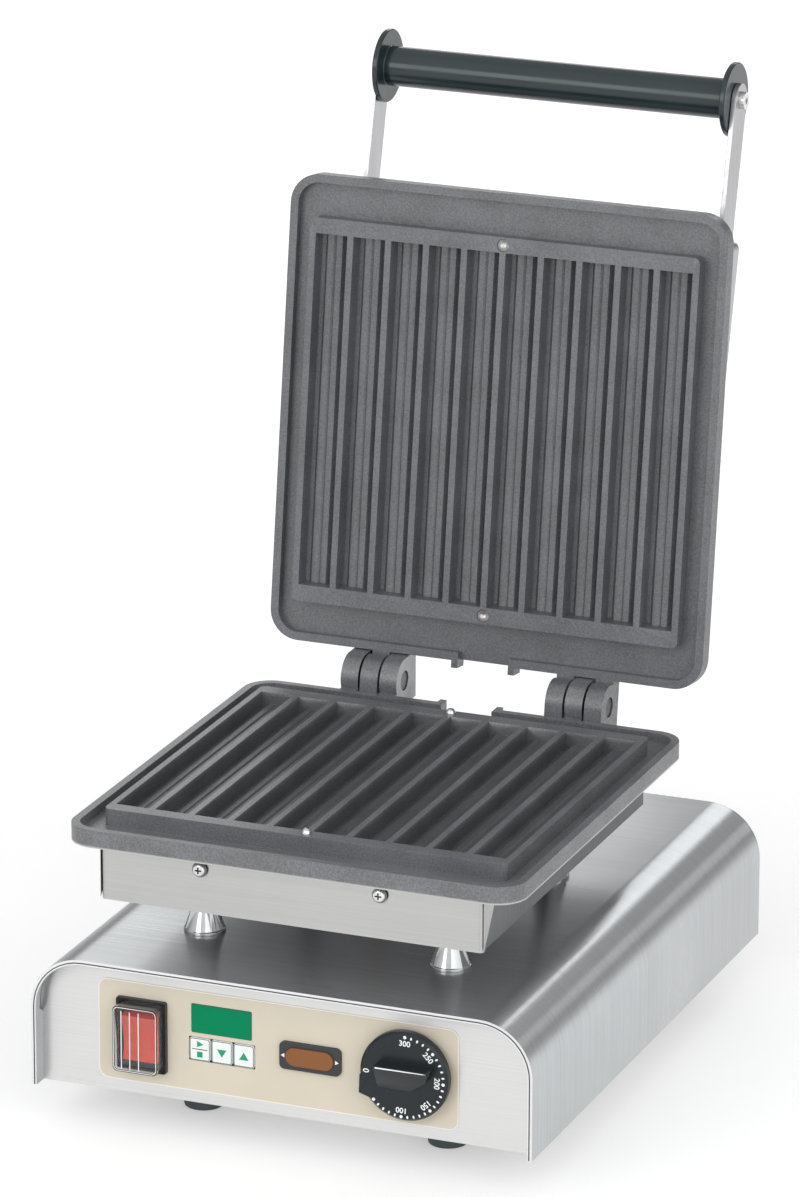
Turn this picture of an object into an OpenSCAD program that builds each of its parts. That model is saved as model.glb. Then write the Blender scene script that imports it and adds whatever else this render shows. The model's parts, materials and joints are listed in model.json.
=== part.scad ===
// Table-top iron for baking waffle sticks: two hinged cast plates on a sheet-metal base.
// Millimetres. X to the right, Y to the back, Z up, origin on the table under the middle.
// The lid is drawn open, resting on the stops of its hinges.

/* [Base] */
// Width of the base cover
base_w = 305; // [290:1:340]
// Depth of the base cover
base_d = 385; // [370:1:420]
// Height of the base cover above its lower edge
base_h = 80; // [76:1:95]
// Outer radius of the cover's shoulders
shoulder_r = 32; // [20:1:34]
// Thickness of the stainless sheet
sheet_t = 1.5; // [1:0.1:2]
// How far the end panels stand back from the cover's edge
panel_setback = 10; // [8:0.5:14]
// Width of the folded hem along the cover's edge
hem_w = 10; // [6:0.5:10]

/* [Feet] */
// Height of a rubber foot
foot_h = 26.5; // [15:0.5:35]
// Largest diameter of a foot
foot_d = 25; // [22:1:30]
// Distance between the left and the right feet
foot_gauge = 151; // [140:1:200]
// Distance of the feet from the front and back edges of the cover
foot_inset = 69.5; // [50:0.5:90]

/* [Standoffs] */
// Height of the cones between base and pan
standoff_h = 32.2; // [20:0.1:45]
// Diameter at the foot of a cone
standoff_d = 24; // [20:1:28]
// Diameter at the top of a cone
standoff_top_d = 12.5; // [11:0.5:16]
// Distance between the left and the right cones
standoff_gauge = 151; // [140:1:190]

/* [Pan and hood] */
// Width of the pan and of the hood
pan_w = 232; // [226:1:244]
// Height of the pan under the lower plate
pan_h = 31.8; // [30:0.1:40]
// Height of the hood at its front
hood_front_h = 75; // [66:1:90]
// Height of the hood at its back
hood_back_h = 43; // [40:1:60]
// Thickness of the pan and hood sheet
pan_t = 1.2; // [1:0.1:1.6]

/* [Plates] */
// Width of a plate casting
plate_w = 275; // [270:1:300]
// Depth of a plate casting
plate_d = 282; // [276:1:310]
// Thickness of a casting from its back to the mating plane
plate_t = 15.3; // [14.5:0.1:18]
// Corner radius of a casting
plate_r = 18; // [12:1:24]
// Width of the rim round the moat
rim_w = 5; // [4:0.5:8]
// Number of channels in a plate
channel_count = 10; // [4:1:10]
// Distance from one channel to the next
channel_pitch = 24.1; // [22:0.1:24.5]
// Width of a channel at the top
channel_w = 20.2; // [16:0.1:20.6]
// Length of a channel at the top
channel_len = 212.4; // [150:0.2:215]
// Depth of a channel at its two grooves
channel_depth = 9.5; // [7:0.1:10]

/* [Hinge] */
// Angle of the open lid from the closed one
open_angle = 97.6; // [92:0.1:100]
// Diameter of a hinge pin
hinge_pin_d = 12; // [10:0.5:13]
// Distance between the two hinges
hinge_gauge = 130; // [110:1:150]

/* [Handle] */
// Distance of the handle in front of the hood
handle_reach = 85.3; // [70:0.1:110]
// Height of the handle over the back of the upper plate
handle_rise = 65.6; // [56:0.1:72]
// Diameter of the grip
grip_d = 24; // [20:0.1:28]
// Diameter of the flanges at the ends of the grip
grip_flange_d = 44.3; // [34:0.1:50]
// Width of an arm
arm_w = 20; // [16:1:24]

/* [Controls] */
// Diameter of the thermostat knob
knob_d = 53; // [46:1:56]
// How far the knob stands out from the panel
knob_reach = 19; // [16:0.5:26]
// Travel of a key
key_travel = 0.5; // [0.3:0.1:0.8]
// Angle through which the rocker swings
rocker_swing = 12; // [8:1:14]

/* [Hidden] */
$fn = 64;

// gaps and fits
touch_gap = 0.3;          // between faces of parts that move past each other
run_gap = 0.05;           // radial clearance of a running fit

// castings, drawn from the hinge axis
hinge_set = 15;           // hinge axis behind the casting's back edge
moat_floor = -plate_t + 5;
rim_top = -4.8;
block_top = -touch_gap / 2;
block_w = (channel_count - 1) * channel_pitch + channel_w + 7.9;
block_front = -hinge_set - plate_d + 25.1;
block_back = -hinge_set - 25;
block_r = 4;
channel_mid = (block_front + block_back) / 2 - 0.35;
ridge_h = 2.7;            // double ridge between the two grooves of a channel
channel_slope = 0.9;      // how far a channel's side leans in
end_slope = 1.4;          // how far a channel's end leans in
notch_half = 16;
knuckle_r = 13.5;
knuckle_w = 11;
knuckle_step = 12.4;
lug_back = 18;            // flat back of the hinge lugs behind the axis
pin_hole_y = [block_front + 4.9, block_back - 5];
locating_d = 6;
lug_x = 54.5;             // screw lugs on the back of a casting
lug_w = 14;
lug_drop = 13;
screw_drop = 5.5;         // screw axis below the casting's back
boss_h = 8;
heater_r = 4;
heater_leg_x = [-84, -28, 28, 84];
heater_front = -hinge_set - plate_d + 75;
heater_back = -hinge_set - 53.5;
boss_points = [for (x = [-56, 56], y = [heater_front - 3, heater_back - 21.5]) [x, y],
    [0, heater_front + 32], [0, heater_back - 21.5]];
clamp_t = 3;
clamp_w = 2 * heater_leg_x[3] + 36;
lead_hole_y = (heater_front + heater_back) / 2 - 13.25;   // way for the thermostat's capillary

// heights above the base's lower edge
pan_z = base_h + standoff_h;
plate_z = pan_z + pan_h;
hinge_z = plate_z + plate_t;
hood_z = hinge_z + plate_t;

// depths from the base's front edge
plate_front = 11.5;
plate_back = plate_front + plate_d;
hinge_y = plate_back + hinge_set;
pan_front = plate_front + 6;
pan_back = plate_back - 9.9;
hood_front = plate_front + 26.5;
hood_back = plate_back - 8.5;
standoff_y = [72, 229];
cone_h = 17.5;            // height of a standoff's cone under its straight neck
foot_y = [foot_inset, base_d - foot_inset];
lead_y = hinge_y + lead_hole_y;
handle_y = hood_front - handle_reach;
handle_z = hood_z + handle_rise;

// the whole part is centred front to back on the table
handle_open_y = hinge_y + (handle_y - hinge_y) * cos(open_angle)
    + (handle_z - hinge_z) * sin(open_angle);
front_end = panel_setback - knob_reach;
back_end = handle_open_y + grip_flange_d / 2;
shift_y = -(front_end + back_end) / 2;

// panel
panel_y = panel_setback;              // front face of the front panel
panel_back = panel_y + sheet_t;
flange_w = 18;
inner_w = base_w - 2 * sheet_t;
inner_h = base_h - sheet_t;
inner_r = shoulder_r - sheet_t;

// places of the controls: x and height of their middles
switch_at = [-87.4, 36.7];
window_at = [-38.7, 51.5];
key_at = [for (i = [0:2]) [-52 + 13.5 * i, 32.9]];
lamp_at = [15.9, 37.9];
knob_at = [75.5, 38.9];
label_mid = [-4.75, 37.5];
label_size = [219.5, 60.6];
label_t = 0.4;
switch_size = [30.6, 43.4];
rocker_size = [21, 28];
rocker_room = [22, 31.4];
rocker_axis_y = panel_y + 5;
window_size = [36.9, 17.3];
key_size = [12.7, 13.7];
key_room = [40.6, 14.5];
key_front = panel_y - 0.8;
lamp_size = [37.1, 16.4];
lens_size = [29.2, 10.9];
shaft_d = 6;
board_y = panel_back + 7;

// handle
arm_t = 3;
arm_x = pan_w / 2 - pan_t - arm_t;    // inner face of an arm, which lies inside the hood's wall
arm_tail_y = hood_front + 62;
hood_fall = atan((hood_front_h - hood_back_h) / (hood_back - hood_front));
arm_screw_reach = [104, 136];         // from the handle axis along the arm
flange_t = 3.4;
grip_gap = 0.3;
rod_d = 10;
bolt_d = 6;
lid_gland_x = -pan_w / 2 + 46;

// ---------------------------------------------------------------- helpers
module in_base() translate([0, shift_y, foot_h]) children();
module at_hinge() in_base() translate([0, hinge_y, hinge_z]) children();
// children in base heights and depths, carried round the hinge with the open lid
module in_lid() at_hinge() rotate([-open_angle, 0, 0]) translate([0, -hinge_y, -hinge_z]) children();
// children in casting coordinates, on the lid
module on_lid_back() at_hinge() rotate([-open_angle, 0, 0]) rotate([0, 180, 0]) children();
// profile (x, z) drawn out from y0 to y1
module along_y(y0, y1) translate([0, y1, 0]) rotate([90, 0, 0]) linear_extrude(y1 - y0) children();
// profile (y, z) drawn out from x0 to x1
module along_x(x0, x1) translate([x0, 0, 0]) rotate([90, 0, 90]) linear_extrude(x1 - x0) children();
module rounded(w, d, r) {
    square([w - 2 * r, d], center = true);
    square([w, d - 2 * r], center = true);
    for (x = [-1, 1], y = [-1, 1])
        translate([x * (w / 2 - r), y * (d / 2 - r)]) circle(r);
}
module tray(w, y0, y1, r) translate([0, (y0 + y1) / 2]) rounded(w, y1 - y0, r);
// arch-shaped section of the base: square at the bottom, round at the shoulders
module arch(w, h, r) {
    translate([-w / 2, 0]) square([w, h - r]);
    translate([-w / 2 + r, 0]) square([w - 2 * r, h]);
    for (x = [-1, 1]) translate([x * (w / 2 - r), h - r]) circle(r);
}
// pillar along +Z with a hole
module tube(d, hole, h) difference() {
    cylinder(d = d, h = h);
    translate([0, 0, -1]) cylinder(d = hole, h = h + 2);
}
// screw whose head sits below z = 0 and whose shank points along +Z
module screw(d, len, head_d, head_h) {
    cylinder(d = d, h = len);
    translate([0, 0, -head_h]) cylinder(d = head_d, h = head_h);
}
module washer_screw(d, len, head_d, head_h) {
    translate([0, 0, -0.8]) screw(d, len + 0.8, head_d, head_h);
    translate([0, 0, -0.8]) tube(head_d + 1.5, d, 0.8);
}
module hexagon(flats, h) cylinder(d = flats / cos(30), h = h, $fn = 6);
// children turned so that their +Z points to the back
module backwards() rotate([-90, 0, 0]) children();
// bent rod through points that follow each other along the axes
module bent_rod(points, r) {
    for (i = [0:len(points) - 2]) {
        step = points[i + 1] - points[i];
        length = norm(step);
        translate(points[i])
            rotate([0, acos(step[2] / length), atan2(step[1], step[0])]) cylinder(r = r, h = length);
    }
    for (i = [1:len(points) - 2]) translate(points[i]) sphere(r);
}
// a rounded hole or plate lying in the front panel, from y0 to y1
module on_panel(at, size, r, y0, y1)
    along_y(y0, y1) translate(at) rounded(size[0], size[1], r);

// ---------------------------------------------------------------- base
module base_cover() color("silver") in_base() difference() {
    union() {
        along_y(0, base_d) difference() {
            arch(base_w, base_h, shoulder_r);
            arch(inner_w, inner_h, inner_r);
        }
        for (y0 = [0, base_d - 2 * sheet_t]) along_y(y0, y0 + 2 * sheet_t) difference() {
            arch(inner_w, inner_h, inner_r);
            arch(inner_w - 2 * sheet_t, inner_h - sheet_t, inner_r - sheet_t);
        }
        for (side = [-1, 1]) {
            wall = side * (inner_w / 2 - sheet_t / 2) - sheet_t / 2;
            lip = [[0, 0], [hem_w, 0], [hem_w, base_h - shoulder_r - 6], [0, base_h - shoulder_r]];
            along_x(wall, wall + sheet_t) polygon(lip);
            along_x(wall, wall + sheet_t) translate([base_d, 0]) mirror([1, 0]) polygon(lip);
            flange = side * (inner_w / 2 - 10) - 10;
            translate([flange, panel_back + flange_w + 1, sheet_t])
                cube([20, base_d - 2 * (panel_back + flange_w + 1), sheet_t]);
        }
    }
    for (p = standoff_points()) translate([p[0], p[1], base_h - 3]) cylinder(d = 6.4, h = 6);
    for (p = side_screw_points()) translate([p[0], p[1], 0]) cylinder(d = 4, h = 6);
    translate([0, lead_y, base_h - 3]) cylinder(d = 16, h = 6);
}
function standoff_points() =
    [for (x = [-1, 1], y = standoff_y) [x * standoff_gauge / 2, y]];
function side_screw_points() =
    [for (x = [-1, 1], y = [0.2, 0.5, 0.8]) [x * (inner_w / 2 - 11), base_d * y]];
function end_screw_points() =
    [for (x = [-1, 1], y = [panel_back + 9, base_d - panel_back - 9]) [x * inner_w / 4, y]];
function foot_points() = [for (x = [-1, 1], y = foot_y) [x * foot_gauge / 2, y]];

// folded end panel, its face at y = 0 and its flanges behind it
module end_panel() {
    along_y(0, sheet_t) arch(inner_w, inner_h, inner_r);
    along_y(0, sheet_t + flange_w) difference() {
        arch(inner_w, inner_h, inner_r);
        arch(inner_w - 2 * sheet_t, inner_h - sheet_t, inner_r - sheet_t);
    }
    translate([-inner_w / 2 + sheet_t, sheet_t, sheet_t])
        cube([inner_w - 2 * sheet_t, flange_w, sheet_t]);
}
// the bottom plate's edge lies under the panel, so the panel is cut away there
module bottom_room() translate([-base_w / 2, panel_back, -1])
    cube([base_w, base_d - 2 * panel_back, 1 + sheet_t]);
module front_panel() color("gainsboro") in_base() difference() {
    translate([0, panel_y, 0]) end_panel();
    bottom_room();
    on_panel(switch_at, [27.6, 38.4], 0.5, 0, 20);
    on_panel(window_at, [34, 15], 0.5, 0, 20);
    on_panel([key_at[1][0], key_at[1][1]], key_room, 0.5, 0, 20);
    on_panel(lamp_at, [31.4, 13.4], 0.5, 0, 20);
    for (x = [-1, 1]) translate([x * 102, 5, inner_h - 4.5]) cube([7, 30, 2], center = true);
    translate([knob_at[0], 0, knob_at[1]]) backwards() {
        cylinder(d = 10.4, h = 20);
        for (x = [-14, 14]) translate([x, 0, 0]) cylinder(d = 4, h = 20);
    }
    for (p = end_screw_points()) translate([p[0], p[1], 0]) cylinder(d = 4, h = 6);
}
module rear_panel() color("silver") in_base() difference() {
    translate([0, base_d, 0]) mirror([0, 1, 0]) translate([0, panel_y, 0]) end_panel();
    bottom_room();
    for (p = gland_points()) translate([p[0], base_d - 20, p[1]]) backwards() cylinder(d = 16.2, h = 30);
    for (p = end_screw_points()) translate([p[0], p[1], 0]) cylinder(d = 4, h = 6);
}
function gland_points() = [[base_w / 2 - 52.5, 34], [-base_w / 2 + 56.5, 46]];
module bottom_plate() color("silver") in_base() difference() {
    translate([-inner_w / 2, panel_back, 0]) cube([inner_w, base_d - 2 * panel_back, sheet_t]);
    for (p = concat(side_screw_points(), end_screw_points()))
        translate([p[0], p[1], -1]) cylinder(d = 4, h = 6);
    for (p = foot_points()) translate([p[0], p[1], -1]) cylinder(d = 5.2, h = 6);
    for (y = [0.3, 0.36, 0.42, 0.48, 0.54, 0.6, 0.66, 0.72], x = [-45, 0, 45])
        translate([x, base_d * y, 0]) cube([30, 4, 8], center = true);
}
module bottom_screws() color("silver") in_base()
    for (p = concat(side_screw_points(), end_screw_points())) translate([p[0], p[1], 0])
        screw(4, 3 * sheet_t + 2, 7.6, 2.4);

// ---------------------------------------------------------------- feet and standoffs
module foot(i) color([0.22, 0.24, 0.26]) in_base()
    translate([foot_points()[i][0], foot_points()[i][1], -foot_h])
    difference() {
        union() {
            cylinder(d1 = foot_d - 2, d2 = foot_d, h = foot_h * 0.6);
            translate([0, 0, foot_h * 0.6]) cylinder(d = foot_d, h = foot_h * 0.4);
        }
        translate([0, 0, -1]) cylinder(d = 11, h = foot_h - 7);
        cylinder(d = 5, h = foot_h + 1);
    }
module foot_screws() color("silver") in_base() for (p = foot_points()) translate([p[0], p[1], -8]) {
    screw(5, 8 + sheet_t + 6, 10, 3);
    translate([0, 0, 8 + sheet_t]) difference() {
        hexagon(8, 4);
        translate([0, 0, -1]) cylinder(d = 5, h = 6);
    }
}
module standoff(i) color("silver") in_base()
    translate([standoff_points()[i][0], standoff_points()[i][1], base_h])
    difference() {
        rotate_extrude() polygon([[0, 0], [standoff_d / 2, 0], [standoff_d / 2, 1.6],
            [standoff_d / 2 - 0.5, 2.2], [standoff_top_d / 2, cone_h],
            [standoff_top_d / 2, standoff_h], [0, standoff_h]]);
        translate([0, 0, -1]) cylinder(d = 6.2, h = standoff_h + 2);
    }
module standoff_bolts() color("silver") in_base() for (p = standoff_points()) translate([p[0], p[1], 0]) {
    translate([0, 0, base_h - sheet_t - 4]) hexagon(10, 4);
    translate([0, 0, base_h - sheet_t]) cylinder(d = 6, h = sheet_t + standoff_h + pan_t + 8);
    translate([0, 0, pan_z + pan_t]) difference() {
        hexagon(10, 5);
        translate([0, 0, -1]) cylinder(d = 6, h = 7);
    }
}

// ---------------------------------------------------------------- controls
module control_label() color([0.87, 0.83, 0.75]) in_base() difference() {
    on_panel(label_mid, label_size, 6, panel_y - label_t, panel_y);
    on_panel(switch_at, switch_size + [0.2, 0.2], 1.5, 0, 20);
    on_panel(window_at, window_size + [0.2, 0.2], 0.8, 0, 20);
    on_panel([key_at[1][0], key_at[1][1]], key_room, 0.5, 0, 20);
    on_panel(lamp_at, lamp_size + [0.2, 0.2], 3.1, 0, 20);
    translate([knob_at[0], 0, knob_at[1]]) backwards() cylinder(d = 38, h = 20);
}
bezel_t = 3;
module switch_body() color([0.2, 0.21, 0.23]) in_base() difference() {
    union() {
        on_panel(switch_at, switch_size, 1.5, panel_y - bezel_t, panel_y);
        on_panel(switch_at, [27.6, 38.4], 0.5, panel_y, panel_y + 24);
        for (x = [-6, 6], z = [-10, 10])
            on_panel(switch_at + [x, z], [0.8, 6.3], 0.3, panel_y + 24, panel_y + 34);
    }
    on_panel(switch_at, rocker_room, 0.5, panel_y - 4, panel_y + 14);
    along_x(switch_at[0] - 12.4, switch_at[0] + 12.4)
        translate([rocker_axis_y, switch_at[1]]) circle(d = 4 + 2 * run_gap);
}
// rocker in its off position: the upper half stands out
module switch_rocker() color([0.9, 0.3, 0.25]) in_base()
    translate([switch_at[0], rocker_axis_y, switch_at[1]]) rotate([rocker_swing / 2, 0, 0]) {
        along_x(-rocker_size[0] / 2, rocker_size[0] / 2) difference() {
            union() {
                translate([-11.2, -rocker_size[1] / 2]) square([9, rocker_size[1]]);
                circle(d = 10);
                translate([-3, -5]) square([3, 10]);
            }
            translate([-11.2 - 38, 0]) circle(r = 40.6, $fn = 128);
        }
        along_x(-12, 12) circle(d = 4);
    }
splash_size = [27.4, 39.6];
splash_out = 9;
module switch_splash_cover() color([0.85, 0.9, 0.92, 0.35]) in_base() difference() {
    union() {
        on_panel(switch_at, splash_size, 3, panel_y - bezel_t - splash_out, panel_y - bezel_t);
        on_panel(switch_at, [switch_size[0] - 0.6, switch_size[1] - 0.6], 1.5,
            panel_y - bezel_t - 1, panel_y - bezel_t);
    }
    on_panel(switch_at, splash_size - [2, 2], 2, panel_y - bezel_t - splash_out + 1, panel_y);
}
module timer_window() color([0.02, 0.5, 0.34]) in_base()
    on_panel(window_at, window_size, 0.8, panel_y - 0.6, panel_y);
module timer_board() color([0.1, 0.35, 0.2]) in_base() {
    on_panel([window_at[0], 43], [50, 44], 1, board_y, board_y + 1.6);
    on_panel(window_at, [33.6, 14.6], 0.5, panel_y, board_y);
    for (k = key_at) {
        on_panel(k, [6, 6], 0.5, board_y - 3, board_y);
        translate([k[0], board_y - 3.6, k[1]]) backwards() cylinder(d = 3.4, h = 0.6);
    }
    for (x = [-1, 1], z = [-1, 1]) translate([window_at[0] + x * 22, panel_back, 43 + z * 19])
        backwards() cylinder(d = 5, h = board_y - panel_back);
    on_panel(window_at + [-11, -1.5], [19, 15], 0.5, board_y + 1.6, board_y + 17);
    on_panel(window_at + [11, -1.5], [17, 24], 0.5, board_y + 1.6, board_y + 24);
}
// key cap with a stem that reaches its switch on the board
module key(i) color("white") in_base() {
    on_panel(key_at[i], key_size, 1.6, key_front, key_front + 1.8);
    translate([key_at[i][0], key_front + 1.8, key_at[i][1]]) backwards()
        cylinder(d = 4, h = board_y - 3.6 - key_travel - 0.1 - key_front - 1.8);
}
module lamp_bezel() color([0.15, 0.16, 0.18]) in_base() difference() {
    union() {
        on_panel(lamp_at, lamp_size, 3, panel_y - 2.4, panel_y);
        on_panel(lamp_at, [31.4, 13.4], 0.5, panel_y, panel_y + 16);
        for (x = [-6, 6]) on_panel(lamp_at + [x, 0], [0.8, 4.8], 0.3, panel_y + 16, panel_y + 24);
    }
    on_panel(lamp_at, lens_size, lens_size[1] / 2 - 0.01, panel_y - 3, panel_y + 4);
}
module lamp_lens() color([0.75, 0.45, 0.22]) in_base()
    on_panel(lamp_at, lens_size, lens_size[1] / 2 - 0.01, panel_y - 3.6, panel_y + 4);
module thermostat_body() color("silver") in_base()
    translate([knob_at[0], panel_back, knob_at[1]]) backwards()
    difference() {
        union() {
            translate([-19, -16, 0]) cube([38, 32, 3]);
            translate([0, 0, 3]) cylinder(d = 30, h = 6);
            translate([-17, -15, 9]) cube([34, 30, 20]);
            translate([0, 0, -sheet_t - 1.5]) cylinder(d = 10, h = sheet_t + 2);
            for (x = [-14, 14]) translate([x, 0, -sheet_t - 1.5]) {
                cylinder(d = 4, h = sheet_t + 3);
                cylinder(d = 7, h = 1.5);
            }
            for (x = [-9, 0, 9]) translate([x - 3.15, -0.4, 29]) cube([6.3, 0.8, 8]);
        }
        translate([0, 0, -5]) cylinder(d = shaft_d + 2 * run_gap, h = 17);
    }
knob_back = panel_y - 3;
// round shaft with a flat for the knob
module shaft_flat(extra) difference() {
    circle(d = shaft_d + 2 * extra);
    translate([-5, shaft_d / 2 - 1.4 + extra]) square([10, 5]);
}
shaft_front = panel_y - knob_reach + 7;
module thermostat_shaft() color("silver") in_base() translate([knob_at[0], 0, knob_at[1]]) {
    translate([0, knob_back, 0]) backwards() cylinder(d = shaft_d, h = panel_back + 11.5 - knob_back);
    translate([0, shaft_front, 0]) backwards() linear_extrude(knob_back - shaft_front) shaft_flat(0);
}
knob_disc_t = 7;
ridge_z = 8;              // grip of the knob: upright on top, sloping away below
ridge_out = knob_reach - 3;
module thermostat_knob() color([0.16, 0.19, 0.22]) in_base() translate([knob_at[0], knob_back, knob_at[1]]) {
    difference() {
        union() {
            rotate([90, 0, 0]) rotate_extrude() polygon([[0, 0], [knob_d / 2 - 0.8, 0],
                [knob_d / 2, 1.5], [knob_d / 2, knob_disc_t - 1.6], [knob_d / 2 - 1.6, knob_disc_t],
                [0, knob_disc_t]]);
            along_y(-knob_disc_t, -1) polygon([[0, 0], [-knob_d / 2 + 0.1, -2],
                [-knob_d / 2 - 0.3, -13.1], [-knob_d / 2 + 6.8, -15.3]]);
            intersection() {
                along_x(-knob_d / 2, knob_d / 2) polygon([[-1, ridge_z], [-ridge_out, ridge_z],
                    [-ridge_out, ridge_z - 1.6], [-knob_disc_t - 1.2, -7.5], [-1, -7.5]]);
                along_y(-ridge_out, -1) polygon([[-20, ridge_z], [18.5, ridge_z], [15.5, 0.7],
                    [4.5, -7.5], [-20.5, -7.5]]);
            }
        }
        translate([0, -2.5, 0]) rotate([-90, 0, 0]) difference() {
            cylinder(d = knob_d - 5, h = 4);
            cylinder(d = 13, h = 4);
        }
        translate([0, shaft_front - knob_back, 0]) backwards()
            linear_extrude(knob_back - shaft_front + 1) shaft_flat(0);
    }
}
sensor_x = 14;
module thermostat_sensor() color("goldenrod") in_base() {
    run_z = knob_at[1] + 8;
    run_y = panel_back + 58.5;
    bulb_z = plate_z - 3;
    translate([sensor_x, lead_y + 8.5, bulb_z]) rotate([90, 0, 0]) cylinder(d = 6, h = 70);
    bent_rod([[knob_at[0], panel_back + 29, run_z], [knob_at[0], run_y, run_z], [0, run_y, run_z],
        [0, lead_y, run_z], [0, lead_y, bulb_z], [sensor_x, lead_y, bulb_z]], 1);
}

// ---------------------------------------------------------------- inside the base
module safety_cutout() color([0.75, 0.72, 0.66]) in_base()
    translate([-0.3 * inner_w, 0.65 * base_d, sheet_t]) {
    translate([-12, -20, 0]) cube([24, 40, 2]);
    translate([0, 0, 2]) cylinder(d = 24, h = 16);
    for (x = [-6, 6]) translate([x - 0.4, -3.15, 18]) cube([0.8, 6.3, 9]);
}
module heater_relay() color([0.12, 0.14, 0.2]) in_base()
    translate([0.315 * inner_w, 0.65 * base_d, sheet_t]) {
    translate([-22, -16, 0]) cube([44, 32, 3]);
    translate([-18, -14, 3]) cube([36, 28, 34]);
    for (x = [-12, -4, 4, 12]) translate([x - 0.4, -3.15, 37]) cube([0.8, 6.3, 8]);
}
module terminal_block() color("ivory") in_base() translate([0, 0.857 * base_d, sheet_t]) difference() {
    union() {
        translate([-32, -11, 0]) cube([64, 22, 8]);
        for (i = [-2:2]) translate([i * 12 - 4.5, -8, 8]) cube([9, 16, 9]);
    }
    for (i = [-2:2], y = [-4.5, 4.5]) translate([i * 12, y, 10]) cylinder(d = 4.5, h = 10);
    for (i = [-2:2]) translate([i * 12, -12, 12.5]) backwards() cylinder(d = 4.5, h = 24);
}
// cable gland with its nut, drawn along +Y from the outer face of its wall
gland_bore = 9;
module gland(wall) backwards() difference() {
    union() {
        translate([0, 0, -wall - 9]) cylinder(d = 16, h = wall + 10);
        translate([0, 0, -wall - 5]) hexagon(21, 5);
        hexagon(21, 5);
        translate([0, 0, 5]) cylinder(d = 18, h = 4);
        translate([0, 0, 9]) hexagon(19, 8);
        translate([0, 0, 17]) cylinder(d1 = 18, d2 = 13, h = 4);
    }
    translate([0, 0, -wall - 10]) cylinder(d = gland_bore, h = 40 + wall);
}
module base_gland(i) color([0.15, 0.15, 0.16]) in_base()
    translate([gland_points()[i][0], base_d - panel_y, gland_points()[i][1]]) gland(sheet_t);

// ---------------------------------------------------------------- castings, from the hinge axis
// right half of a channel's section: fine groove, crest, deep groove and side
function channel_half(half) = [
    [0, -channel_depth + ridge_h - 0.8], [1, -channel_depth + ridge_h],
    [half * 0.46, -channel_depth + ridge_h], [half * 0.66, -channel_depth],
    [half - channel_slope, -channel_depth],
    [half + channel_slope / channel_depth, 1]];
module channel_cut() intersection() {
    half = channel_w / 2;
    end = channel_len / 2;
    side = channel_half(half);
    along_y(channel_mid - end - 1, channel_mid + end + 1)
        polygon(concat([for (i = [len(side) - 1:-1:1]) [-side[i][0], side[i][1]]], side));
    along_x(-half - 1, half + 1) translate([channel_mid, 0]) polygon([
        [-end - end_slope / channel_depth, 1], [-end + end_slope, -channel_depth - 1],
        [end - end_slope, -channel_depth - 1], [end + end_slope / channel_depth, 1]]);
}
// the square back of a lug is cut to lie on the other casting at the open stop
module lug_side() {
    circle(knuckle_r);
    translate([-hinge_set - 1, -plate_t]) square([hinge_set + 1, plate_t + rim_top]);
    polygon([[0, -plate_t], [lug_back, -plate_t], [lug_back, stop_height(lug_back)],
        [10, min(knuckle_r, stop_height(10))], [0, knuckle_r]]);
}
// height of the other casting's back face over a lug, less the gap, with the lid open
function stop_height(y) = (hinge_set + y * cos(open_angle) - touch_gap) / sin(open_angle);
function knuckle_x() = [-hinge_gauge / 2 - knuckle_step, -hinge_gauge / 2 + knuckle_step, hinge_gauge / 2];
module casting(front_wall, back_wall) difference() {
    union() {
        translate([0, 0, -plate_t]) linear_extrude(plate_t + moat_floor)
            tray(plate_w, -hinge_set - plate_d, -hinge_set, plate_r);
        translate([0, 0, moat_floor]) linear_extrude(rim_top - moat_floor) difference() {
            tray(plate_w, -hinge_set - plate_d, -hinge_set, plate_r);
            tray(plate_w - 2 * rim_w, -hinge_set - plate_d + rim_w, -hinge_set - rim_w, plate_r - rim_w);
            translate([-notch_half, -hinge_set - rim_w - 1]) square([2 * notch_half, rim_w + 2]);
        }
        for (x = [-1, 1]) translate([x * (notch_half + 2) - 2, -hinge_set - rim_w, -plate_t])
            cube([4, rim_w + 4.5, plate_t + rim_top]);
        translate([0, 0, moat_floor]) linear_extrude(block_top - moat_floor)
            tray(block_w, block_front, block_back, block_r);
        for (x = knuckle_x()) along_x(x - knuckle_w / 2, x + knuckle_w / 2) lug_side();
        for (x = [-lug_x, lug_x]) {
            translate([x - lug_w / 2, front_wall, -plate_t - lug_drop]) cube([lug_w, 11.8, lug_drop]);
            translate([x - lug_w / 2, back_wall - 10.9, -plate_t - lug_drop]) cube([lug_w, 10.9, lug_drop]);
        }
        for (p = boss_points) translate([p[0], p[1], -plate_t - boss_h]) cylinder(d = 12, h = boss_h);
    }
    for (i = [0:channel_count - 1])
        translate([(i - (channel_count - 1) / 2) * channel_pitch, 0, block_top]) channel_cut();
    for (x = knuckle_x()) translate([x - knuckle_w, 0, 0]) rotate([0, 90, 0])
        cylinder(d = hinge_pin_d + 2 * run_gap, h = 2 * knuckle_w);
    for (x = [-lug_x, lug_x], y = [front_wall - 1, back_wall - 11]) translate([x, y, -plate_t - screw_drop])
        backwards() cylinder(d = 4, h = 12);
    for (p = boss_points) translate([p[0], p[1], -plate_t - boss_h - 1]) cylinder(d = 4, h = boss_h + 1);
}
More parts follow.
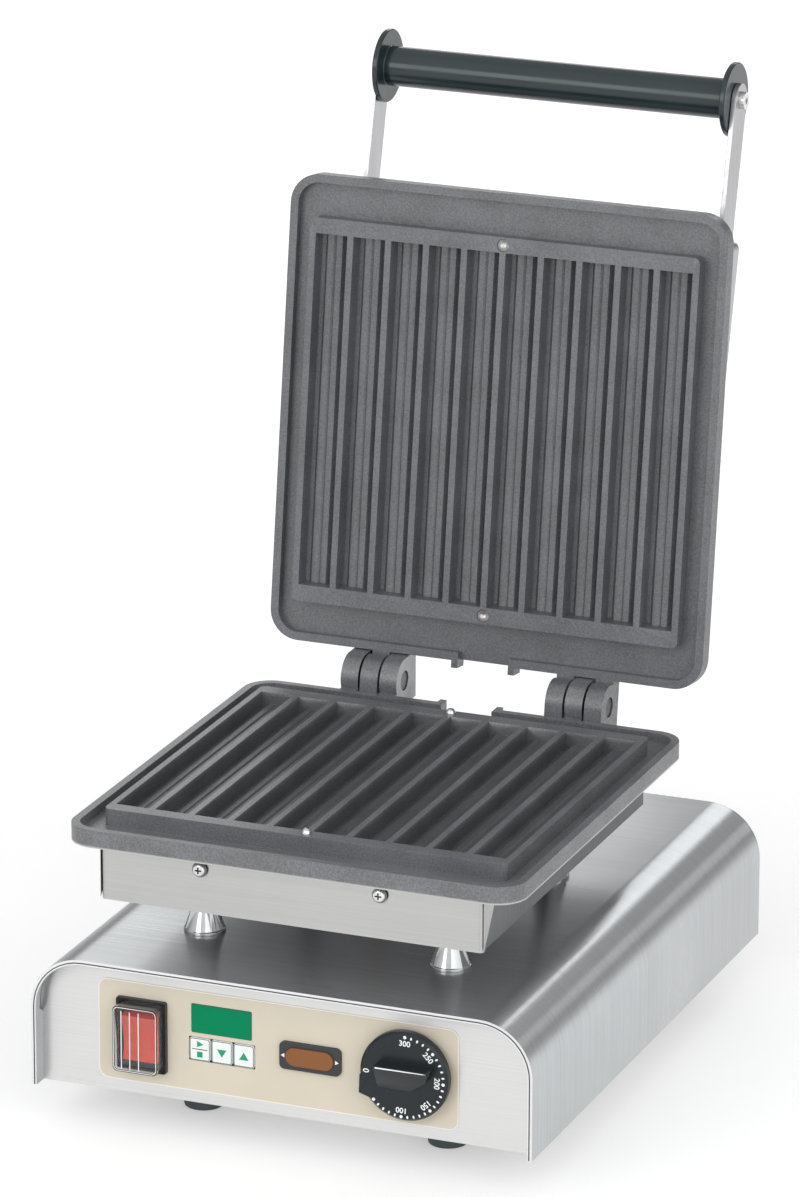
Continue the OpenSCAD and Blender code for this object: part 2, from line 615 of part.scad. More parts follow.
// tubular element: four legs joined by three bends, with a terminal at each end
module heater() {
    z = -plate_t - heater_r;
    bend_r = (heater_leg_x[1] - heater_leg_x[0]) / 2;
    for (x = heater_leg_x) translate([x, heater_front, z]) backwards()
        cylinder(r = heater_r, h = heater_back - heater_front);
    for (x = [heater_leg_x[0], heater_leg_x[2]]) translate([x + bend_r, heater_front, z])
        rotate([0, 0, 180]) rotate_extrude(angle = 180) translate([bend_r, 0]) circle(heater_r);
    translate([0, heater_back, z]) rotate_extrude(angle = 180) translate([bend_r, 0]) circle(heater_r);
    for (x = [heater_leg_x[0], heater_leg_x[3]]) translate([x, heater_back, z]) backwards() {
        cylinder(d = 2 * heater_r - 1, h = 12);
        cylinder(d = 4, h = 24);
    }
}
module heater_clamp() difference() {
    translate([0, 0, -plate_t - boss_h - clamp_t]) linear_extrude(clamp_t)
        tray(clamp_w, heater_front - 28, heater_back + 6.5, 6);
    for (p = boss_points) translate([p[0], p[1], -plate_t - boss_h - clamp_t - 1])
        cylinder(d = 4.4, h = clamp_t + 2);
    translate([0, lead_hole_y, -plate_t - boss_h - clamp_t - 1]) cylinder(d = 8, h = clamp_t + 2);
}
module clamp_screws() for (p = boss_points) translate([p[0], p[1], -plate_t - boss_h - clamp_t])
    screw(4, clamp_t + boss_h - 1, 7.6, 2.4);
wool_gap = 2;

// ---------------------------------------------------------------- lower half
fold_w = 18;
module lower_pan() color([0.8, 0.8, 0.81]) in_base() difference() {
    union() {
        translate([0, 0, pan_z]) linear_extrude(pan_h) tray(pan_w - 2 * pan_t, pan_front, pan_back, 3);
        intersection() {
            translate([0, 0, pan_z]) linear_extrude(pan_h) tray(pan_w, pan_front, pan_front + 2 * fold_w, 3);
            along_x(-pan_w / 2, pan_w / 2) polygon([[pan_front, pan_z], [pan_front + 3, pan_z],
                [pan_front + fold_w, plate_z], [pan_front, plate_z]]);
        }
    }
    translate([0, 0, pan_z + pan_t]) linear_extrude(pan_h)
        tray(pan_w - 4 * pan_t, pan_front + pan_t, pan_back - pan_t, 3 - pan_t);
    for (p = standoff_points()) translate([p[0], p[1], pan_z - 1]) cylinder(d = 6.4, h = 4);
    translate([0, lead_y, pan_z - 1]) cylinder(d = 16, h = 4);
    for (x = [-lug_x, lug_x]) translate([x, pan_front - 1, plate_z - screw_drop]) backwards()
        cylinder(d = 4.2, h = pan_back - pan_front + 2);
}
module wall_screws(front, back, z) for (x = [-lug_x, lug_x]) {
    translate([x, front, z]) backwards() washer_screw(4, 10, 7.5, 2.8);
    translate([x, back, z]) rotate([90, 0, 0]) washer_screw(4, 10, 7.5, 2.8);
}
module lower_pan_screws() color("silver") in_base() wall_screws(pan_front, pan_back, plate_z - screw_drop);
module lower_insulation() color([0.85, 0.82, 0.72]) in_base() difference() {
    translate([0, 0, pan_z + pan_t]) linear_extrude(pan_h - pan_t - boss_h - clamp_t - 2.4 - wool_gap)
        tray(pan_w - 2 * pan_t - 6, pan_front + 14, pan_back - 14, 3);
    for (p = standoff_points()) translate([p[0], p[1], pan_z]) cylinder(d = 15, h = 40);
    translate([0, lead_y, pan_z]) cylinder(d = 16, h = 40);
}
module lower_heater() color([0.45, 0.45, 0.47]) at_hinge() heater();
module lower_heater_clamp() color("silver") at_hinge() heater_clamp();
module lower_clamp_screws() color("silver") at_hinge() clamp_screws();
module lower_plate() color([0.36, 0.37, 0.38]) at_hinge() difference() {
    casting(pan_front + pan_t - hinge_y, pan_back - pan_t - hinge_y);
    for (y = pin_hole_y) translate([0, y, block_top - 6]) cylinder(d = locating_d, h = 7);
}
module locating_pins() color("silver") at_hinge() for (y = pin_hole_y) translate([0, y, block_top - 6]) {
    cylinder(d = locating_d, h = 6.3);
    translate([0, 0, 6.3]) intersection() {
        sphere(d = locating_d);
        cylinder(d = locating_d, h = locating_d);
    }
}
module hinge_pin(side) color("silver") at_hinge()
    translate([side * hinge_gauge / 2 - 17.2, 0, 0]) rotate([0, 90, 0]) cylinder(d = hinge_pin_d, h = 34.4);

// ---------------------------------------------------------------- lid
module upper_plate() color([0.36, 0.37, 0.38]) on_lid_back() difference() {
    casting(hood_front + pan_t - hinge_y, hood_back - pan_t - hinge_y);
    for (y = pin_hole_y) translate([0, y, block_top]) sphere(d = locating_d + 1.8);
}
module upper_heater() color([0.45, 0.45, 0.47]) on_lid_back() heater();
module upper_heater_clamp() color("silver") on_lid_back() heater_clamp();
module upper_clamp_screws() color("silver") on_lid_back() clamp_screws();
module upper_insulation() color([0.85, 0.82, 0.72]) in_lid() {
    wool_z = hood_z + boss_h + clamp_t + 2.4 + wool_gap;
    along_x(-pan_w / 2 + 10, pan_w / 2 - 10) polygon([[hood_front + 14, wool_z], [hood_back - 14, wool_z],
        [hood_back - 14, hood_top(hood_back - 14) - pan_t - 0.1],
        [hood_front + 14, hood_top(hood_front + 14) - pan_t - 0.1]]);
}
function hood_top(y) = hood_z + hood_front_h - (y - hood_front) * tan(hood_fall);
// wedge with rounded upright edges, inset all round by t
module wedge(t, below) intersection() {
    along_x(-pan_w / 2 + t, pan_w / 2 - t) polygon([[hood_front + t, hood_z - below],
        [hood_back - t, hood_z - below], [hood_back - t, hood_top(hood_back - t) - t],
        [hood_front + t, hood_top(hood_front + t) - t]]);
    translate([0, 0, hood_z - below]) linear_extrude(hood_front_h + below + 1)
        tray(pan_w - 2 * t, hood_front + t, hood_back - t, 5 - t);
}
arm_dir = [cos(hood_fall), -sin(hood_fall)];
function arm_point(s) = [handle_y + s * arm_dir[0], handle_z + s * arm_dir[1]];
arm_len = (arm_tail_y - handle_y) / cos(hood_fall);
// slot in the hood's front through which an arm comes out
module arm_slot(side) intersection() {
    along_x(min(side * (arm_x - touch_gap), side * (arm_x + arm_t)),
        max(side * (arm_x - touch_gap), side * (arm_x + arm_t)))
        translate(arm_point(0)) rotate(-hood_fall) translate([0, -arm_w / 2 - touch_gap])
            square([arm_len, arm_w + 2 * touch_gap]);
    translate([-pan_w / 2, hood_front - 1, hood_z]) cube([pan_w, 7, hood_front_h]);
}
module lid_hood() color([0.8, 0.8, 0.81]) in_lid() difference() {
    wedge(0, 0);
    wedge(pan_t, 1);
    for (x = [-lug_x, lug_x]) translate([x, hood_front - 1, hood_z + screw_drop]) backwards()
        cylinder(d = 4.2, h = hood_back - hood_front + 2);
    for (s = arm_screw_reach) along_x(-pan_w, pan_w) translate(arm_point(s)) circle(d = 5);
    for (side = [-1, 1]) arm_slot(side);
    translate([lid_gland_x, hood_back - 3, hood_z + 24]) backwards() cylinder(d = 16.2, h = 6);
}
module lid_hood_screws() color("silver") in_lid() wall_screws(hood_front, hood_back, hood_z + screw_drop);
module lid_lead_gland() color([0.15, 0.15, 0.16]) in_lid()
    translate([lid_gland_x, hood_back, hood_z + 24]) gland(pan_t);
module arm(side) color([0.78, 0.79, 0.8]) in_lid() {
    x0 = side * (arm_x + arm_t / 2) - arm_t / 2;
    along_x(x0, x0 + arm_t) difference() {
        union() {
            translate(arm_point(0)) rotate(-hood_fall) translate([0, -arm_w / 2]) square([arm_len, arm_w]);
            translate(arm_point(0)) circle(d = arm_w);
            translate(arm_point(arm_len)) circle(d = arm_w);
        }
        translate(arm_point(0)) circle(d = bolt_d + 0.2);
        for (s = arm_screw_reach) translate(arm_point(s)) circle(d = 5);
    }
}
module arm_screws() color("silver") in_lid() for (side = [-1, 1], s = arm_screw_reach)
    translate([side * pan_w / 2, arm_point(s)[0], arm_point(s)[1]]) rotate([0, -side * 90, 0]) {
        screw(5, arm_t + pan_t + 5, 9, 2.6);
        translate([0, 0, arm_t + pan_t]) difference() {
            hexagon(8, 4);
            translate([0, 0, -1]) cylinder(d = 5, h = 6);
        }
    }
module handle_rod() color("silver") in_lid()
    translate([-arm_x, handle_y, handle_z]) rotate([0, 90, 0]) difference() {
    cylinder(d = rod_d, h = 2 * arm_x);
    translate([0, 0, -1]) cylinder(d = bolt_d, h = 18);
    translate([0, 0, 2 * arm_x - 17]) cylinder(d = bolt_d, h = 18);
}
module handle_grip() color([0.16, 0.22, 0.24]) in_lid() translate([0, handle_y, handle_z]) rotate([0, 90, 0])
    difference() {
        half = arm_x - grip_gap;
        union() {
            translate([0, 0, -half]) cylinder(d = grip_d, h = 2 * half);
            for (side = [-1, 1]) translate([0, 0, side * (half - flange_t / 2) - flange_t / 2])
                cylinder(d = grip_flange_d, h = flange_t);
        }
        translate([0, 0, -arm_x]) cylinder(d = rod_d, h = 2 * arm_x);
    }
module handle_bolts() color("silver") in_lid() for (side = [-1, 1])
    translate([side * (arm_x + arm_t), handle_y, handle_z]) rotate([0, -side * 90, 0]) difference() {
        screw(bolt_d, arm_t + 14, 10.5, 3.2);
        translate([0, 0, -4.2]) hexagon(4, 2.8);
    }

// ---------------------------------------------------------------- drawing
base_cover();
front_panel();
rear_panel();
bottom_plate();
bottom_screws();
foot(0);  // foot_front_left
foot(1);  // foot_rear_left
foot(2);  // foot_front_right
foot(3);  // foot_rear_right
foot_screws();
standoff(0);  // standoff_front_left
standoff(1);  // standoff_rear_left
standoff(2);  // standoff_front_right
standoff(3);  // standoff_rear_right
standoff_bolts();
control_label();
switch_body();
switch_rocker();
switch_splash_cover();
timer_window();
timer_board();
key(0);  // key_start_stop
key(1);  // key_down
key(2);  // key_up
lamp_bezel();
lamp_lens();
thermostat_body();
thermostat_shaft();
thermostat_knob();
thermostat_sensor();
safety_cutout();
heater_relay();
terminal_block();
base_gland(0);  // mains_gland
base_gland(1);  // base_lead_gland
lower_pan();
lower_pan_screws();
lower_insulation();
lower_heater();
lower_heater_clamp();
lower_clamp_screws();
lower_plate();
locating_pins();
hinge_pin(-1);  // hinge_pin_left
hinge_pin(1);  // hinge_pin_right
upper_plate();
upper_heater();
upper_heater_clamp();
upper_clamp_screws();
upper_insulation();
lid_hood();
lid_hood_screws();
lid_lead_gland();
arm(-1);  // handle_arm_left
arm(1);  // handle_arm_right
arm_screws();
handle_rod();
handle_grip();
handle_bolts();
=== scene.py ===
"""Looks of a table-top waffle stick iron: finished castings, brushed sheet, dial marks and studio."""
import json
import math

import bmesh
import bpy
from mathutils import Matrix, Vector


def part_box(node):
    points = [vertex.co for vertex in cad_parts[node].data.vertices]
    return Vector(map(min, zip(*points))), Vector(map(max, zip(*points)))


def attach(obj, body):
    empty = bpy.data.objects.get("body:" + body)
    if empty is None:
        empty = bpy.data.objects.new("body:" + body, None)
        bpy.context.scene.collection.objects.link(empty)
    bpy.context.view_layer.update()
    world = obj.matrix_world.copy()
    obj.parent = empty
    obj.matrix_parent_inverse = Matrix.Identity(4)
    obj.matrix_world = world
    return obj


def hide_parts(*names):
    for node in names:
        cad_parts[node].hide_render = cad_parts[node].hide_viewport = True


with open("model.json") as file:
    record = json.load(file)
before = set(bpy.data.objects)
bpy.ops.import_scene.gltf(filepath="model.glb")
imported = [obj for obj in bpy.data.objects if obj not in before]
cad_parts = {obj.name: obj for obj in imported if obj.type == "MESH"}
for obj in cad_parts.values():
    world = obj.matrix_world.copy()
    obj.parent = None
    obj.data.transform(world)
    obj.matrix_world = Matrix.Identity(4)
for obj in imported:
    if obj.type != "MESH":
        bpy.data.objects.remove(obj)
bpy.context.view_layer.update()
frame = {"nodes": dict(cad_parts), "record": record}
nodes = frame["nodes"]
body_of_node = {
    node: body for body, members in frame["record"]["behaviour"]["bodies"].items() for node in members
}

# ------------------------------------------------------------------ places
MM = 0.001
cover_low, cover_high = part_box("base_cover")
FRONT, BACK, BOTTOM = cover_low[1], cover_high[1], cover_low[2]
PANEL_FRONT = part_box("front_panel")[0][1]
PANEL_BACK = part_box("rear_panel")[1][1]
pin_low, pin_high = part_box("hinge_pin_left")
HINGE = Vector((0, (pin_low[1] + pin_high[1]) / 2, (pin_low[2] + pin_high[2]) / 2))
OPEN = math.radians(97.6)

# the closed lid turned up to where it rests open
LID_TURN = Matrix.Translation(HINGE) @ Matrix.Rotation(-OPEN, 4, "X") @ Matrix.Translation(-HINGE)


def lid_flat(point):
    """A point of the open lid, laid back to where it is with the lid closed."""
    return LID_TURN.inverted() @ point


def base_point(x, y, z):
    """A point in millimetres, from the middle of the base cover's lower front edge."""
    return Vector((x * MM, FRONT + y * MM, BOTTOM + z * MM))


def front_of(node):
    """Middle of a node's front face in millimetres, as base_point takes it."""
    low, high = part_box(node)
    return (low[0] + high[0]) / 2 / MM, (low[1] - FRONT) / MM, ((low[2] + high[2]) / 2 - BOTTOM) / MM


def front_size(node):
    """Width and height of a node in millimetres."""
    low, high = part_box(node)
    return (high[0] - low[0]) / MM, (high[2] - low[2]) / MM


# ------------------------------------------------------------------ shader nodes
def add_node(tree, kind, **inputs):
    """A node with its inputs set by name, or by number as in i0, from a value or another node's socket."""
    node = tree.nodes.new(kind)
    for label, value in inputs.items():
        numbered = label[0] == "i" and label[1:].isdigit()
        feed(tree, node.inputs[int(label[1:]) if numbered else label], value)
    return node


def feed(tree, socket, value):
    if isinstance(value, bpy.types.NodeSocket):
        tree.links.new(value, socket)
    else:
        socket.default_value = value


def arithmetic(tree, operation, a, b=0):
    node = add_node(tree, "ShaderNodeMath", i0=a, i1=b)
    node.operation = operation
    return node.outputs[0]


def blend_colours(tree, factor, a, b):
    node = tree.nodes.new("ShaderNodeMix")
    node.data_type = "RGBA"
    for socket, value in ((node.inputs["Factor"], factor), (node.inputs[6], a), (node.inputs[7], b)):
        feed(tree, socket, value)
    return node.outputs[2]


def stretch(tree, value, low, high, to_low, to_high):
    """The value from low to high, spread over to_low to to_high and held there."""
    node = add_node(tree, "ShaderNodeMapRange", i0=value, i1=low, i2=high, i3=to_low, i4=to_high)
    return node.outputs[0]


def noise(tree, vector, scale, detail, roughness=0.5):
    node = add_node(tree, "ShaderNodeTexNoise", Vector=vector, Scale=scale, Detail=detail,
                    Roughness=roughness)
    return node.outputs[0]


def mixed(tree, a, b, share):
    """The two patterns added, a by its share and b by the rest."""
    return arithmetic(tree, "ADD", arithmetic(tree, "MULTIPLY", a, share),
                      arithmetic(tree, "MULTIPLY", b, 1 - share))


# ------------------------------------------------------------------ material groups
def new_group(name, *inputs):
    """A node group that puts out a colour, a roughness and a height; inputs are name, kind and value."""
    group = bpy.data.node_groups.new(name, "ShaderNodeTree")
    for label, kind, value in (("Vector", "NodeSocketVector", None),) + inputs:
        socket = group.interface.new_socket(label, in_out="INPUT", socket_type=kind)
        if value is not None:
            socket.default_value = value
    for label, kind in (("Color", "Color"), ("Roughness", "Float"), ("Height", "Float")):
        group.interface.new_socket(label, in_out="OUTPUT", socket_type="NodeSocket" + kind)
    data = group.nodes.new("NodeGroupInput").outputs
    return group, [data[i] for i in range(len(inputs) + 1)]


def put_out(group, colour, roughness, height):
    out = group.nodes.new("NodeGroupOutput")
    for socket, value in zip(out.inputs, (colour, roughness, height)):
        group.links.new(value, socket)
    return group


def make_casting_grain():
    """Fine grain in slow clouds; its light specks are also its smoother ones."""
    group, (vector, light, dark, fine) = new_group(
        "casting_grain", ("Light", "NodeSocketColor", (0.2, 0.2, 0.21, 1)),
        ("Dark", "NodeSocketColor", (0.1, 0.1, 0.11, 1)),
        ("Grain per metre", "NodeSocketFloat", 900))
    grain = noise(group, vector, fine, detail=3, roughness=0.65)
    clouds = noise(group, vector, scale=38, detail=3)
    both = mixed(group, grain, clouds, 0.72)
    colour = blend_colours(group, stretch(group, both, 0.36, 0.64, 0, 1), dark, light)
    return put_out(group, colour, stretch(group, grain, 0.3, 0.7, 0.46, 0.28), grain)


def make_brushed_sheet():
    """Hair lines, long where Along is small, over slow smudges; the light lines are also smoother."""
    group, (vector, along, light, dark, low, high) = new_group(
        "brushed_sheet", ("Along", "NodeSocketVector", (8, 700, 700)),
        ("Light", "NodeSocketColor", (0.8, 0.8, 0.8, 1)), ("Dark", "NodeSocketColor", (0.5, 0.5, 0.5, 1)),
        ("Rough low", "NodeSocketFloat", 0.2), ("Rough high", "NodeSocketFloat", 0.34))
    lines = add_node(group, "ShaderNodeVectorMath", i0=vector, i1=along)
    lines.operation = "MULTIPLY"
    hair = noise(group, lines.outputs[0], scale=1.0, detail=4, roughness=0.6)
    smudge = noise(group, vector, scale=11, detail=3)
    both = mixed(group, hair, smudge, 0.6)
    colour = blend_colours(group, stretch(group, both, 0.35, 0.65, 0, 1), dark, light)
    return put_out(group, colour, stretch(group, both, 0.35, 0.65, high, low), hair)


def make_moulded_skin():
    """Plastic or rubber whose colour and gloss drift a little, with a fine skin."""
    group, (vector, colour, change, low, high) = new_group(
        "moulded_skin", ("Colour", "NodeSocketColor", (0.1, 0.1, 0.1, 1)),
        ("Change", "NodeSocketFloat", 0.12),
        ("Rough low", "NodeSocketFloat", 0.25), ("Rough high", "NodeSocketFloat", 0.4))
    cloud = noise(group, vector, scale=26, detail=4)
    drift = arithmetic(group, "MULTIPLY", arithmetic(group, "SUBTRACT", cloud, 0.5), change)
    lightness = arithmetic(group, "ADD", 1, drift)
    tinted = add_node(group, "ShaderNodeHueSaturation", Color=colour, Value=lightness)
    skin = noise(group, vector, scale=1900, detail=2)
    return put_out(group, tinted.outputs[0], stretch(group, cloud, 0.3, 0.7, low, high), skin)


CASTING_GRAIN = make_casting_grain()
BRUSHED_SHEET = make_brushed_sheet()
MOULDED_SKIN = make_moulded_skin()


M = {}


def start_material(name):
    """A new material, kept in M; gives its node tree, its shader and the place on the object."""
    mat = bpy.data.materials.new(name)
    mat.use_nodes = True
    M[name] = mat
    tree = mat.node_tree
    return tree, tree.nodes["Principled BSDF"], tree.nodes.new("ShaderNodeTexCoord").outputs["Object"]


def dress(tree, shader, group, place, bump, relief, **values):
    """Feeds the shader from one of the groups, with its own values."""
    node = tree.nodes.new("ShaderNodeGroup")
    node.node_tree = group
    tree.links.new(place, node.inputs["Vector"])
    for label, value in values.items():
        node.inputs[label.replace("_", " ")].default_value = value
    tree.links.new(node.outputs["Color"], shader.inputs["Base Color"])
    tree.links.new(node.outputs["Roughness"], shader.inputs["Roughness"])
    uneven = add_node(tree, "ShaderNodeBump", Strength=bump, Distance=relief, Height=node.outputs["Height"])
    tree.links.new(uneven.outputs[0], shader.inputs["Normal"])
    return node


FINE_RELIEF, GRAIN_RELIEF = 0.2 * MM, 0.28 * MM


def steel(name, along, light, dark, rough, bump=0.05, across=None, metal=1):
    """Steel whose brushing runs along one axis; across is the direction in which it scatters most."""
    tree, shader, place = start_material(name)
    shader.inputs["Metallic"].default_value = metal
    if across:
        shader.inputs["Anisotropic"].default_value = 0.8
        spread = add_node(tree, "ShaderNodeCombineXYZ", X=across[0], Y=across[1], Z=across[2])
        tree.links.new(spread.outputs[0], shader.inputs["Tangent"])
    dress(tree, shader, BRUSHED_SHEET, place, bump, FINE_RELIEF, Along=along, Light=(*light, 1),
          Dark=(*dark, 1), Rough_low=rough[0], Rough_high=rough[1])


def plastic(name, colour, rough, change=0.12, bump=0.03, coat=0.0, specular=0.5):
    tree, shader, place = start_material(name)
    shader.inputs["Coat Weight"].default_value = coat
    shader.inputs["Coat Roughness"].default_value = 0.08
    shader.inputs["Specular IOR Level"].default_value = specular
    dress(tree, shader, MOULDED_SKIN, place, bump, FINE_RELIEF, Colour=(*colour, 1), Change=change,
          Rough_low=rough[0], Rough_high=rough[1])


def clear_plastic(name):
    tree, shader, place = start_material(name)
    shader.inputs["Transmission Weight"].default_value = 1
    shader.inputs["IOR"].default_value = 1.35
    dress(tree, shader, MOULDED_SKIN, place, 0.02, FINE_RELIEF, Colour=(0.95, 0.98, 0.99, 1), Change=0.05,
          Rough_low=0.03, Rough_high=0.08)


# the lower plate's ten channels, measured from its front edge, and its flat tops above the pan
CHANNELS_WIDE, CHANNELS_LONG, CHANNELS_MIDDLE = 237.1 * MM, 212.4 * MM, 140.7 * MM
TOPS_ABOVE_PAN = 15.1 * MM
# painted shade: the colour and share by which the lower plate's channels are darkened
CHANNEL_SHADE_COLOUR, CHANNEL_SHADE_SHARE = (0.012, 0.012, 0.013, 1), 0.5
BARE_EDGE, EDGE_FROM, EDGE_TO = (0.5, 0.5, 0.48, 1), 0.4 * MM, 1.4 * MM


def channel_shade_mask(tree, across, along, height):
    """Where the painted shade goes: 1 deep in the lower plate's channels, 0 on its flat tops and outside the
    channels.
    """
    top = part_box("lower_pan")[1][2] + TOPS_ABOVE_PAN
    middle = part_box("lower_plate")[0][1] + CHANNELS_MIDDLE
    mask = stretch(tree, height, top - 2.5 * MM, top - 0.4 * MM, 1, 0)
    for distance, half in ((across, CHANNELS_WIDE / 2),
                           (arithmetic(tree, "SUBTRACT", along, middle), CHANNELS_LONG / 2)):
        inside = stretch(tree, arithmetic(tree, "ABSOLUTE", distance), half, half + 0.6 * MM, 1, 0)
        mask = arithmetic(tree, "MULTIPLY", mask, inside)
    return mask


def casting(name, light, dark, shade_channels=False):
    """Grainy coating; where asked for, painted shade darkens it in the channels, and it is bare on the
    sheared edge by the pan.
    """
    tree, shader, place = start_material(name)
    shader.inputs["Specular IOR Level"].default_value = 1.0
    grain = dress(tree, shader, CASTING_GRAIN, place, 0.5, GRAIN_RELIEF, Light=(*light, 1), Dark=(*dark, 1))
    if shade_channels:
        # painted shade in the channels, and the bare sheared edge by the pan
        across, along, height = add_node(tree, "ShaderNodeSeparateXYZ", Vector=place).outputs
        deep = arithmetic(tree, "MULTIPLY", channel_shade_mask(tree, across, along, height), CHANNEL_SHADE_SHARE)
        coat = blend_colours(tree, deep, grain.outputs["Color"], CHANNEL_SHADE_COLOUR)
        pan_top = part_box("lower_pan")[1][2]
        low = stretch(tree, height, pan_top + EDGE_FROM, pan_top + EDGE_TO, 1, 0)
        tree.links.new(blend_colours(tree, low, coat, BARE_EDGE), shader.inputs["Base Color"])


# how fine the brushing is along x, y and z, per metre: the small number is the way it runs
ALONG_X, ALONG_Z, OVER_COVER = (7, 900, 900), (900, 900, 7), (7, 900, 7)
SPECKLED = (300, 300, 300)
# the direction in which a brushed face scatters light most
Y, Z = (0, 1, 0), (0, 0, 1)

steel("cover_steel", OVER_COVER, (0.61, 0.63, 0.645), (0.50, 0.515, 0.53), (0.27, 0.31), 0.02, Y, metal=0.86)
steel("panel_steel", ALONG_X, (0.70, 0.70, 0.698), (0.64, 0.64, 0.637), (0.34, 0.44), 0.03, Z)
steel("pan_steel", ALONG_X, (0.51, 0.51, 0.505), (0.455, 0.455, 0.45), (0.3, 0.4), 0.02, Z)
# painted shade: a darker copy of the pan's steel for its side walls, for the shade under the casting's
# overhang
steel("pan_side_painted_shade", ALONG_Z, (0.17, 0.174, 0.178), (0.13, 0.133, 0.137), (0.34, 0.42), 0.02, Y)
steel("hood_steel", ALONG_Z, (0.50, 0.508, 0.515), (0.43, 0.437, 0.443), (0.28, 0.38), 0.03)
steel("arm_steel", ALONG_Z, (0.50, 0.50, 0.513), (0.42, 0.42, 0.433), (0.26, 0.36), 0.03)
# painted highlight: a brighter copy of the cover's steel for its front and back sheet edges
steel("edge_painted_highlight", ALONG_X, (0.86, 0.86, 0.865), (0.78, 0.78, 0.785), (0.25, 0.35), 0.01)
steel("fastener_steel", SPECKLED, (0.82, 0.82, 0.83), (0.62, 0.62, 0.63), (0.12, 0.24))
steel("standoff_chrome", (300, 300, 40), (0.56, 0.575, 0.58), (0.48, 0.49, 0.50), (0.06, 0.11), 0.01)
# painted shade: the hinge pins are darkened for the shade in their holes
steel("pin_steel", SPECKLED, (0.12, 0.12, 0.125), (0.06, 0.06, 0.065), (0.3, 0.45))
# the washer's own darker steel, also used as painted shade in the screws' cross recesses
steel("washer_dark_and_recess_shade", SPECKLED, (0.22, 0.22, 0.22), (0.1, 0.1, 0.1), (0.3, 0.45))
steel("bare_casting", (500, 40, 40), (0.34, 0.345, 0.35), (0.22, 0.224, 0.23), (0.35, 0.5))
steel("polished_hollow", (500, 500, 500), (0.62, 0.62, 0.61), (0.42, 0.42, 0.41), (0.3, 0.45))
steel("device_grey", (60, 60, 60), (0.55, 0.55, 0.54), (0.42, 0.42, 0.41), (0.35, 0.5))
steel("sensor_copper", (400, 400, 400), (0.78, 0.42, 0.25), (0.6, 0.28, 0.16), (0.25, 0.4))
steel("heater_sheath", SPECKLED, (0.30, 0.29, 0.28), (0.16, 0.15, 0.145), (0.4, 0.55))
# the lower casting, with painted shade in its channels
casting("lower_coating", (0.18, 0.186, 0.198), (0.08, 0.083, 0.09), shade_channels=True)
casting("lid_coating", (0.138, 0.145, 0.157), (0.056, 0.059, 0.066))
# painted shadow: a flat dark for the shade in the hem's gap
plastic("gap_dark", (0.03, 0.033, 0.036), (0.5, 0.6))
plastic("foot_rubber", (0.062, 0.078, 0.082), (0.55, 0.75), change=0.3, bump=0.12)
plastic("label_film", (0.67, 0.61, 0.495), (0.34, 0.46), change=0.1, bump=0.02)
# painted highlight: a light frame for the light caught by the label's embossed edge
plastic("label_border", (0.88, 0.85, 0.78), (0.3, 0.4), change=0.05, bump=0.02)
plastic("switch_black", (0.022, 0.024, 0.026), (0.28, 0.42), change=0.3, bump=0.05)
plastic("rocker_red", (0.78, 0.075, 0.04), (0.2, 0.3), change=0.15, bump=0.02, coat=0.4)
plastic("window_green", (0.0, 0.235, 0.095), (0.3, 0.4), change=0.08, bump=0.01, specular=0.1)
plastic("print_green", (0.0, 0.32, 0.16), (0.4, 0.5), change=0.1)
plastic("print_dark", (0.012, 0.1, 0.055), (0.4, 0.5), change=0.1)
plastic("key_white", (0.86, 0.89, 0.875), (0.34, 0.46), change=0.04)
plastic("print_white", (0.92, 0.93, 0.95), (0.4, 0.55), change=0.05)
plastic("lens_amber", (0.24, 0.093, 0.027), (0.3, 0.4), change=0.35, bump=0.05, specular=0.35)
plastic("lamp_black", (0.028, 0.03, 0.032), (0.3, 0.42), change=0.3, bump=0.05)
plastic("knob_black", (0.008, 0.013, 0.016), (0.2, 0.3), change=0.35, specular=0.4)
plastic("grip_plastic", (0.014, 0.027, 0.030), (0.16, 0.26), change=0.35, bump=0.02, coat=0.1, specular=0.45)
plastic("gland_black", (0.02, 0.021, 0.022), (0.38, 0.5), change=0.2, bump=0.06)
plastic("board_green", (0.02, 0.11, 0.05), (0.35, 0.5), change=0.5, bump=0.08)
plastic("ceramic", (0.72, 0.69, 0.62), (0.45, 0.6), change=0.2, bump=0.1)
plastic("relay_blue", (0.03, 0.05, 0.12), (0.3, 0.4), change=0.2)
plastic("mineral_wool", (0.66, 0.60, 0.44), (0.85, 1.0), change=0.9, bump=1.0)
clear_plastic("clear_cover")


# ------------------------------------------------------------------ making pieces
def to_mesh(bm, name):
    mesh = bpy.data.meshes.new(name)
    bm.to_mesh(mesh)
    bm.free()
    return mesh


def gathered(meshes):
    """The meshes in one bmesh, and the meshes themselves removed."""
    bm = bmesh.new()
    for mesh in meshes:
        bm.from_mesh(mesh)
        bpy.data.meshes.remove(mesh)
    return bm


def show(name, mesh, body, finishes):
    """A new piece that rides on a body; finishes is its material's name, or a list of them."""
    piece = bpy.data.objects.new(name, mesh)
    bpy.context.scene.collection.objects.link(piece)
    for finish_name in [finishes] if isinstance(finishes, str) else finishes:
        mesh.materials.append(M[finish_name])
    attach(piece, body)
    return piece


def smooth_below(mesh, sharp):
    mesh.shade_smooth()
    mesh.set_sharp_from_angle(angle=math.radians(sharp))


def round_edges(piece, width, segments, sharp, limit="ANGLE"):
    rounding = piece.modifiers.new("rounding", "BEVEL")
    rounding.width = width * MM
    rounding.segments = segments
    rounding.limit_method = limit
    rounding.angle_limit = math.radians(sharp)
    rounding.harden_normals = True


def merged(node):
    """A CAD node's mesh with its triangles joined and its flat faces made whole."""
    bm = bmesh.new()
    bm.from_mesh(nodes[node].data)
    bmesh.ops.remove_doubles(bm, verts=bm.verts, dist=0.002 * MM)
    bmesh.ops.dissolve_limit(bm, angle_limit=math.radians(0.6), verts=bm.verts, edges=bm.edges,
                             delimit={"NORMAL"})
    return bm


